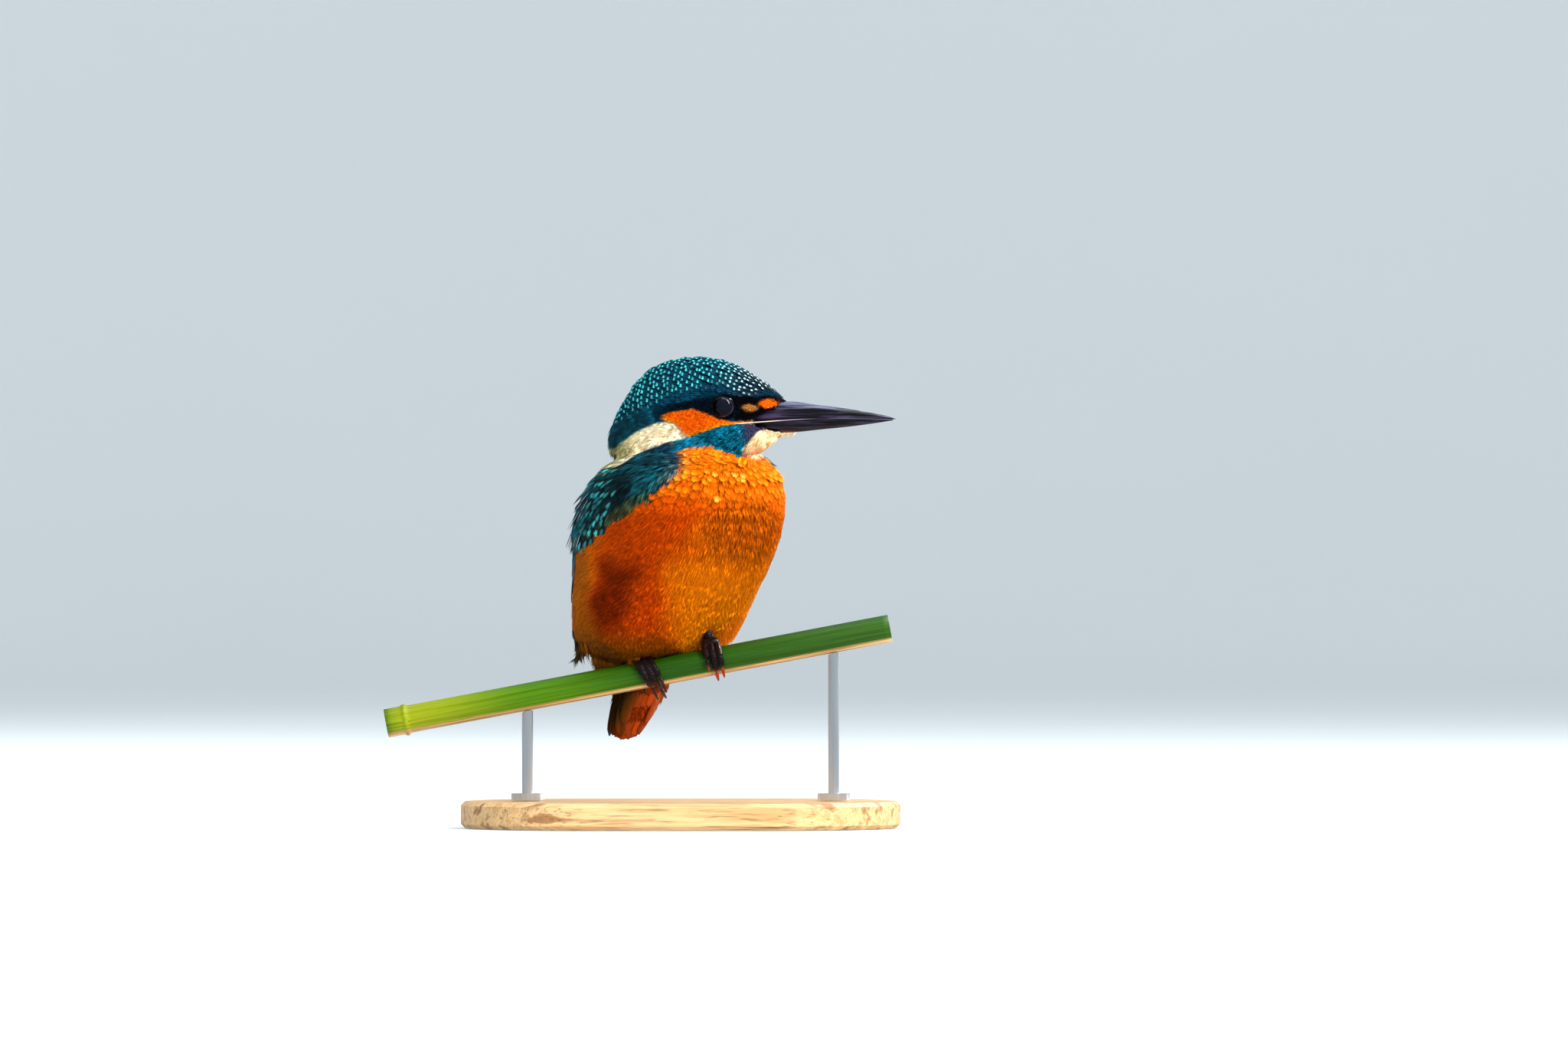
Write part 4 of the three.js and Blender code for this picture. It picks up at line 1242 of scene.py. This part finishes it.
def vane(name):
    """One whole feather, 1 wide, 1 long and 1 proud: a thin domed blade on a raised quill."""
    points, faces, barbs = [], [], []
    for lower in (0.0, 1.0):
        for row in range(VANE_ROWS + 1):
            share = row / VANE_ROWS
            half = 0.5 * min(1, 0.45 + share * 1.6)
            if share > 0.7:
                half *= math.sqrt(max(0.02, 1 - ((share - 0.7) / 0.31) ** 2))
            for k in range(VANE_ACROSS + 1):
                side = k / VANE_ACROSS * 2 - 1
                dome = VANE_DOME * (1 - side * side) * half
                quill = 0.1 * (k == VANE_ACROSS / 2) * (1 - share)
                lift = 1 - (1 - share) ** 1.5
                points.append((side * half, share - 0.03 * side * side, lift + dome + quill - lower * 0.16))
                barbs.append((side * half, share, (k + row) * 0.37 % 1))
    wide = VANE_ACROSS + 1
    under = wide * (VANE_ROWS + 1)
    for row in range(VANE_ROWS):
        for k in range(VANE_ACROSS):
            a = row * wide + k
            faces.append((a, a + 1, a + wide + 1, a + wide))
            faces.append((under + a + wide, under + a + wide + 1, under + a + 1, under + a))
    rim = list(range(wide)) + [row * wide + VANE_ACROSS for row in range(1, VANE_ROWS + 1)]
    rim += [VANE_ROWS * wide + k for k in range(VANE_ACROSS - 1, -1, -1)]
    rim += [row * wide for row in range(VANE_ROWS - 1, 0, -1)]
    for here, then in zip(rim, rim[1:] + rim[:1]):
        faces.append((then, here, under + here, under + then))
    mesh = mesh_of(name, points, faces)
    write(mesh, "Barb", "FLOAT_VECTOR", barbs)
    return bpy.data.objects.new(name, mesh)


def quill_finish(name, lustre, pale_edge=None, contrast=1.0):
    """Whole feathers: close slanting barbs either side of a darker shaft, with or without a painted
    highlight along the edge.
    """
    material, tree, shader = finish(name, 0.5, lustre)
    axes = node(tree, "ShaderNodeSeparateXYZ", {0: attribute(tree, "Barb", "Vector")}).outputs
    out_by = maths(tree, "ABSOLUTE", axes["X"])
    slanting = maths(tree, "MULTIPLY_ADD", out_by, -0.44, axes["Y"])
    links = {0: axes["X"], 1: slanting, 2: attribute(tree, "Chance", "Fac")}
    combed = node(tree, "ShaderNodeCombineXYZ", links).outputs[0]
    lines = noise_of(tree, drawn_out(tree, combed, (2.4, 60, 30)), 1.0, 3)
    line_tone = ramp(tree, lines, [(0.32, grey(1 - 0.4 * contrast)), (0.68, grey(1 + 0.3 * contrast))])
    shaft_tone = ramp(tree, out_by, [(0.0, grey(1 - 0.55 * contrast)), (0.04, grey(1.0))])
    colour = times(tree, attribute(tree, "Tint"), times(tree, line_tone, shaft_tone))
    if pale_edge is not None:
        # The pale edge is a painted highlight along the rim of each feather.
        colour = blended(tree, share_of(tree, out_by, 0.43, 0.48, 0.8), colour, pale_edge)
    dressed(tree, shader, colour, lines, 0.00006, 0.5)
    return material


# Scapulars: long narrow feathers that fall over the wing's rear edge, with a painted highlight along their
# rims.
long_vane = vane("long vane")
scapular_finish = quill_finish("scapulars", 0.2, pale_edge=paint(216, 232, 236))
roots = []
for sense, back in WINGS:
    for height in np.arange(44.0, 59.0, 2.6):
        rear = along(height, SHOULDER_LINE) + back
        for k in range(4):
            hit = body_ray(height + dice.uniform(-0.8, 0.8), sense * (rear + k * 6 + dice.uniform(-1, 1)))
            if hit is None or abs(hit[0] @ BODY_LEFT) < 5:
                continue
            roots.append(
                dict(
                    hit=hit,
                    size=(1.6, 9.0 + 2.5 * dice.random(), 0.3),
                    tint=np.array((2.0, 60, 74)) * dice.uniform(0.3, 1.2),
                    lean=BODY_AHEAD * 0.12 - UP * 0.55,
                )
            )
feathered(
    "scapulars", planted(roots), long_vane, scapular_finish, "wing_blue", ruffle=0.06, uneven=0.15, seed=44
)

# Flight feathers: the secondaries and primaries close over each other down to the wing's tip.
flight_finish = quill_finish("flight feathers", 0.3)
roots = []
for sense, back in WINGS:
    for height in np.arange(10.0, 42.0, 3.2):
        fore = along(height, WING_EDGE) + 3 + back
        high = height > 16
        for k in range(5 if high else 2):
            hit = body_ray(height, sense * (fore + 2 + k * 7))
            if hit is None or not wing_skin[corner_of(hit)]:
                continue
            size = (4.0, 13.0, 0.8) if high else (2.6, 6.5, 0.5)
            roots.append(dict(hit=hit, size=size, tint=(4, 62, 84) if k else (3, 22, 30), lean=-UP * 0.6))
feathered(
    "flight_feathers", planted(roots), long_vane, flight_finish, "wing_blue",
    ruffle=0.05, uneven=0.06, seed=45,
)  # fmt: skip

# ------------------------------------------------------------------ the tail
# Stiff tail feathers lie side by side behind the reed, blue above and rufous below, and soft
# coverts overlap their roots like tiles, above and below.

TAIL_LENGTH = 32.5
TAIL_ACROSS = unit(np.cross(TAIL_LIE, TAIL_BACK))
TAIL_HALF = ((0, 5), (0.35, 7.4), (0.6, 7.2))
tail_finish = quill_finish("tail feathers", 0.06, contrast=0.4)
tail_down = (outline_at - TAIL_ROOT) @ TAIL_LIE / TAIL_LENGTH
tail_cover = np.where((skin_part >= TAIL) & (tail_down < 0.72), 1.0, 0.0)
strokes(0.15, 1.2)
sown(
    "tail_coverts", tail_cover, sized(1.6, 3.4, 0.5), silky, breast_finish, "rufous",
    spacing=0.95, ruffle=0.06, seed=51,
)  # fmt: skip
roots = []
for face in (-1, 1):
    for row, share in enumerate(np.arange(0.04, 0.68, 0.15)):
        half = along(share, TAIL_HALF)
        count = 6 + row % 2
        last = share > 0.6
        for k in range(count):
            across = half * ((k + 0.5) / count * 2 - 1)
            at = TAIL_ROOT + TAIL_LIE * TAIL_LENGTH * share + TAIL_ACROSS * across
            hit = struck(at + TAIL_BACK * face * 30, TAIL_BACK * -face)
            if hit is None or skin_part[corner_of(hit)] < TAIL:
                continue
            outer = k in (0, count - 1)
            long = 12.0 - abs(across) * 0.3 if last else 9.5
            if outer and not last:
                long = min(TAIL_LENGTH * (0.95 - share), 16)
            lean = TAIL_ACROSS * (-across * (0.03 if last else 0.01))
            roots.append(dict(hit=hit, size=(3.4 if outer else 4.4, long, 0.32), lean=lean))
feathered(
    "tail_feathers", planted(roots), long_vane, tail_finish, "rufous", ruffle=0.02, uneven=0.03, seed=52
)

# ------------------------------------------------------------------ the eyes
# Each eye is a dark glass bead, blown, tinted from behind and set into its socket.
# A roll of thin black leather round it makes the lids, with a fine paler edge against the glass.

EYE_RADIUS = 3.7
EYE_PLACE = (7.2, 9.5, -0.6)
LID = 0.3
LID_EDGE = 0.09
LID_STEPS = 64
LID_SIDES = 10
LID_OPENING = 55  # degrees from the gaze to the middle of the lid above and below, and more at its ends
LID_LENGTHENING = 9
LID_INSET = 4.4


def ring_of(centre_line, wide, tall):
    """A closed tube round a closed line; centre_line holds points with two axes across them."""
    points = []
    for at, one, two in centre_line:
        for turn in turns(LID_SIDES):
            points.append((at + one * (wide * math.cos(turn)) + two * (tall * math.sin(turn))) * MM)
    return points, tube_faces(len(centre_line), LID_SIDES, closed=True)


def outward(mesh):
    """Turns a closed mesh's faces outwards."""
    work = bmesh.new()
    work.from_mesh(mesh)
    bmesh.ops.recalc_face_normals(work, faces=work.faces)
    work.to_mesh(mesh)
    work.free()
    return mesh


glass = grained("eye glass", 0.03, 0.28, 500.0, [(0.3, paint(1, 1, 8)), (0.7, paint(4, 5, 18))])
lid_tones = [(0.1, paint(1, 1, 3)), (0.8, paint(9, 9, 14))]
leather = grained("lid leather", 0.65, 0.06, 3200.0, lid_tones, (0.0001, 0.5), cells=True)
edge_leather = grained("lid edge", 0.4, 0.3, 420.0, [(0.35, paint(10, 9, 14)), (0.7, paint(74, 66, 70))])
for sense, name in ((-1, "right"), (1, "left")):
    centre = head_point(EYE_PLACE[0], sense * EYE_PLACE[1], EYE_PLACE[2])
    gaze = HEAD_LEFT * sense
    ball = bmesh.new()
    bmesh.ops.create_uvsphere(ball, u_segments=64, v_segments=40, radius=EYE_RADIUS * MM)
    ball_mesh = bpy.data.meshes.new("bead")
    ball.to_mesh(ball_mesh)
    ball.free()
    ball_mesh.transform(Matrix.Translation(Vector(centre) * MM))
    bead = piece(f"bead_{name}", smoothed(ball_mesh), glass)
    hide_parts(f"eye_{name}")
    lines = {"lid": [], "lid_edge": []}
    for turn in turns(LID_STEPS):
        level = abs(math.cos(turn))
        spread = math.radians(LID_OPENING + LID_LENGTHENING * level**4)
        ray = HEAD_AHEAD * math.cos(turn) + UP * math.sin(turn)
        along_lid = ray * math.cos(spread) - gaze * math.sin(spread)
        normal = gaze * math.cos(spread) + ray * math.sin(spread)
        lines["lid"].append((centre + normal * (EYE_RADIUS + 0.02), along_lid, normal))
        inner = spread - math.radians(LID_INSET)
        normal = gaze * math.cos(inner) + ray * math.sin(inner)
        lines["lid_edge"].append((centre + normal * (EYE_RADIUS + 0.03), along_lid, normal))
    for kind, size, material in (("lid", LID, leather), ("lid_edge", LID_EDGE, edge_leather)):
        points, faces = ring_of(lines[kind], size, size * 0.75)
        roll = piece(f"{kind}_{name}", outward(mesh_of(kind, points, faces)), material)

# ------------------------------------------------------------------ the bill
# Two long horny halves that close along the gape, near black with a violet bloom.
# Growth lines run along them, the nostrils are slits by the forehead, and the gape's edge is pale.

GAPE = ((9, -5.6), (17, -4.95), (32, -4.05), (46, -4.1), (57.8, -4.3))
CULMEN = (
    (11, -2.4), (17, 0), (23.5, 1.1), (33.8, 0), (42.8, -1.1), (51.7, -2.6), (56, -3.5), (57.8, -4.15),
)  # fmt: skip
UPPER_HALF = (
    (11, 8.6), (17, 6.9), (23.5, 4.9), (33.8, 3.4), (42.8, 2.5), (51.7, 1.35), (56, 0.7), (57.8, 0.12),
)  # fmt: skip
KEEL = ((9, -7), (16, -8.2), (26.7, -8.05), (33.8, -7.35), (42.8, -6.5), (51.7, -5.4), (57, -4.6))
LOWER_HALF = ((9, 8.8), (16, 6.9), (26.7, 4), (33.8, 3.2), (42.8, 2.4), (51.7, 1.3), (57, 0.12))
BILL_SIDES = 40
BILL_ROWS = 110
BILL_GAP = 0.06
NOSTRIL = (21.2, 24.6, -0.9)


def curve_through(stops):
    """A smooth curve through (place, height) stops, as a function."""
    xs, ys = np.array(stops, float).T
    slopes = np.gradient(ys, xs)

    def height(x):
        k = int(np.clip(np.searchsorted(xs, x) - 1, 0, len(xs) - 2))
        span = xs[k + 1] - xs[k]
        t = (x - xs[k]) / span
        a = (1 + 2 * t) * (1 - t) ** 2 * ys[k] + t * (1 - t) ** 2 * span * slopes[k]
        return a + t * t * (3 - 2 * t) * ys[k + 1] + t * t * (t - 1) * span * slopes[k + 1]

    return height


def bill_half(name, start, end, edge_stops, half_stops, sense):
    """One half of the bill, its flat face along the gape; sense is 1 for the upper half."""
    gape, edge, half = curve_through(GAPE), curve_through(edge_stops), curve_through(half_stops)
    points, horns, sheen_shares = [], [], []
    for row in range(BILL_ROWS + 1):
        share = row / BILL_ROWS
        x = start + (end - start) * (1 - (1 - share) ** 1.25)
        line = gape(x) + sense * BILL_GAP / 2
        for turn in turns(BILL_SIDES):
            c, s = math.cos(turn), math.sin(turn)
            ridge = max(0, c) ** 1.15
            left = half(x) * s * (1 - 0.1 * math.sin(math.pi * min(1, ridge)) * (x < 40))
            up = line + (edge(x) - line) * ridge
            if sense > 0 and NOSTRIL[0] < x < NOSTRIL[1]:
                dip = math.sin(math.pi * (x - NOSTRIL[0]) / (NOSTRIL[1] - NOSTRIL[0]))
                nostril = math.exp(-(((up - NOSTRIL[2] + 0.12 * (x - 23)) / 0.32) ** 2)) * dip
                left *= 1 - 0.16 * nostril
            points.append(head_point(x, left, up) * MM)
            horns.append((x, s * 3, up))
            # How much painted sheen each point along the culmen gets.
            sheen_shares.append(ridge * (sense > 0) * rise(x, 12, 22))
    faces = tube_faces(BILL_ROWS + 1, BILL_SIDES)
    faces.append(tuple(range(BILL_SIDES)))
    faces.append(tuple(range(BILL_ROWS * BILL_SIDES, (BILL_ROWS + 1) * BILL_SIDES)))
    mesh = mesh_of(name, points, faces)
    write(mesh, "Horn", "FLOAT_VECTOR", horns)
    write(mesh, "CulmenSheen", "FLOAT", sheen_shares)
    return outward(mesh)


horn, tree, shader = finish("bill horn", 0.3, 0.24)
where = attribute(tree, "Horn", "Vector")
growth = noise_of(tree, drawn_out(tree, where, (0.06, 0.7, 1.3)), 1.2, 5, 0.5)
growth_tone = ramp(
    tree,
    growth,
    [(0.34, paint(2, 2, 5)), (0.48, paint(8, 7, 13)), (0.62, paint(40, 35, 56)), (0.78, paint(88, 78, 112))],
)
horn_along = node(tree, "ShaderNodeSeparateXYZ", {0: where}).outputs["X"]
tipward = ramp(
    tree,
    share_of(tree, horn_along, 9.0, 58.0),
    [(0.0, (0.9, 0.62, 0.62, 1)), (0.3, (1, 0.86, 0.92, 1)), (0.6, grey(0.8)), (1.0, grey(1.1))],
)
# The upper half's ridge is taken towards lilac grey where the growth lines are light: a painted sheen along
# the culmen.
culmen_sheen_share = maths(tree, "MULTIPLY", attribute(tree, "CulmenSheen", "Fac"), growth)
culmen_sheen = ramp(tree, culmen_sheen_share, [(0.3, grey(0)), (0.7, grey(0.65))])
horn_tone = blended(tree, culmen_sheen, times(tree, growth_tone, tipward), paint(122, 128, 160))
dressed(tree, shader, horn_tone, growth, 0.0002, 0.45)
for name, start, end, edge_stops, half_stops, sense in (
    ("upper", 11.5, 57.7, CULMEN, UPPER_HALF, 1),
    ("lower", 9.5, 56.9, KEEL, LOWER_HALF, -1),
):
    mesh = bill_half(f"{name}_bill", start, end, edge_stops, half_stops, sense)
    half_bill = piece(f"{name}_bill", mesh, horn)
    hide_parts(f"bill_{name}")

GAPE_SIDES = 8
pale_edge, tree, shader = finish("gape edge", 0.5, 0.15)
edge_along = node(tree, "ShaderNodeSeparateXYZ", {0: attribute(tree, "Horn", "Vector")}).outputs["X"]
edge_tone = ramp(
    tree,
    share_of(tree, edge_along, 9.0, 52.0),
    [
        (0.0, paint(214, 176, 140)),
        (0.25, paint(200, 172, 156)),
        (0.38, paint(128, 112, 138)),
        (0.6, paint(40, 35, 52)),
        (1.0, paint(14, 12, 20)),
    ],
)
dressed(tree, shader, edge_tone)
gape_curve, upper_half = curve_through(GAPE), curve_through(UPPER_HALF)
stations = np.linspace(9.8, 50, 90)
for sense, name in ((-1, "right"), (1, "left")):
    points, horns = [], []
    for x in stations:
        thick = 0.14 * (1 - 0.6 * rise(x, 24, 50)) * rise(x, 9.5, 13)
        out_by = upper_half(x) - 0.02
        if x < 19:
            beside = struck(head_point(x, sense * 40, gape_curve(x)), HEAD_LEFT * -sense)
            out_by = max(out_by, abs((beside[0] - HEAD_AT) @ HEAD_LEFT) + 0.55) if beside else out_by
        for turn in turns(GAPE_SIDES):
            aside = sense * (out_by + thick * 0.7 * math.cos(turn))
            height = gape_curve(x) - 0.12 + thick * math.sin(turn)
            points.append(head_point(x, aside, height) * MM)
            horns.append((x, 0, 0))
    faces = tube_faces(len(stations), GAPE_SIDES)
    faces.append(tuple(range(GAPE_SIDES)))
    faces.append(tuple(range(len(points) - GAPE_SIDES, len(points))))
    mesh = mesh_of("gape", points, faces)
    write(mesh, "Horn", "FLOAT_VECTOR", horns)
    gape_strip = piece(f"gape_edge_{name}", outward(mesh), pale_edge)

# ------------------------------------------------------------------ the feet
# Short shanks and fleshy toes in small wet-looking scutes, cast in resin and painted brown black.
# Three toes of each foot close over the front of the reed and one behind it, with curved claws.

FOOT_GROW = 0.3
FOOT_WEAVE = 0.17
CLAW_GROW = 0.1
SCUTE = 9.5  # degrees of the reed's round under each scute of a toe
SHANK_PLATE = 1.15
TOES = ("inner", "middle", "outer", "hind")


def joined(nodes, grow, kind, **settings):
    """One smooth mesh of several carved pieces, each swollen a little, finished by a modifier."""
    work = bmesh.new()
    for each in nodes:
        work.from_mesh(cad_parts[each].data)
    thing = placed("joined", swollen(work, grow))
    finishing = thing.modifiers.new("finishing", kind)
    for key, value in settings.items():
        setattr(finishing, key, value)
    return smoothed(made_plain(thing))


def round_reed(points):
    """Degrees round the reed from its top to the front, and the way out from its axis."""
    away = points - np.array(REED_AT) / MM
    away = away - np.outer(away @ np.array(reed_along), np.array(reed_along))
    return np.degrees(np.arctan2(-away[:, 1], away @ np.array(reed_up))), unit(away)


def stained_tones(count, base, other, share):
    """A base tone at every point, taken towards another by a share."""
    return mixed(np.tile(np.array(base, float), (count, 1)), other, share)


scute_shades = [(0.1, grey(1.25)), (0.7, grey(0.6))]
scute_finish = grained(
    "toe scutes", 0.28, 0.22, 2400.0, scute_shades, (0.0001, 0.5), cells=True, tinted=True
)
claw_shades = [(0.3, grey(0.7)), (0.7, grey(1.2))]
claw_horn = grained("claw horn", 0.25, 0.3, 1800.0, claw_shades, detail=3, tinted=True)
for name, warm in (("right", 0.25), ("left", 1.0)):
    nodes = [f"leg_{name}"] + [f"toe_{name}_{toe}" for toe in TOES]
    foot_mesh = joined(nodes, FOOT_GROW, "REMESH", mode="VOXEL", voxel_size=FOOT_WEAVE * MM)
    at, out, edges = arrays_of(foot_mesh)
    at = evened(at, edges, 4)
    degrees, away = round_reed(at)
    off_top = rise(np.abs(degrees), 12, 22)
    outer = rise(np.sum(out * away, axis=1), -0.1, 0.6) * off_top
    scutes = np.abs(np.sin(np.pi * (degrees + at[:, 0] * 3) / SCUTE)) ** 0.6
    plates = np.abs(np.sin(np.pi * at[:, 2] / SHANK_PLATE)) ** 0.6
    at = at + out * (0.09 * (scutes - 0.6) * outer + 0.06 * (plates - 0.6) * (1 - off_top))[:, None]
    foot_mesh.vertices.foreach_set("co", (at * MM).ravel())
    foot_tone = stained_tones(len(at), (13, 5, 5), (170, 44, 12), rise(degrees, 108, 128) * warm)
    foot_tone = mixed(foot_tone, (70, 30, 24), (1 - scutes) * outer * 0.3)
    write(foot_mesh, "Tint", "FLOAT_COLOR", coloured(foot_tone))
    foot = piece(f"foot_{name}", foot_mesh, scute_finish)
    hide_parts(*nodes)
    nodes = [f"claw_{name}_{toe}" for toe in TOES]
    claw_mesh = joined(nodes, CLAW_GROW, "SUBSURF", levels=2, render_levels=2)
    degrees = round_reed(arrays_of(claw_mesh)[0])[0]
    claw_tone = stained_tones(len(degrees), (12, 7, 7), (130, 34, 10), rise(degrees, 90, 110) * warm)
    write(claw_mesh, "Tint", "FLOAT_COLOR", coloured(claw_tone))
    claws = piece(f"claws_{name}", claw_mesh, claw_horn)
    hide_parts(*nodes)
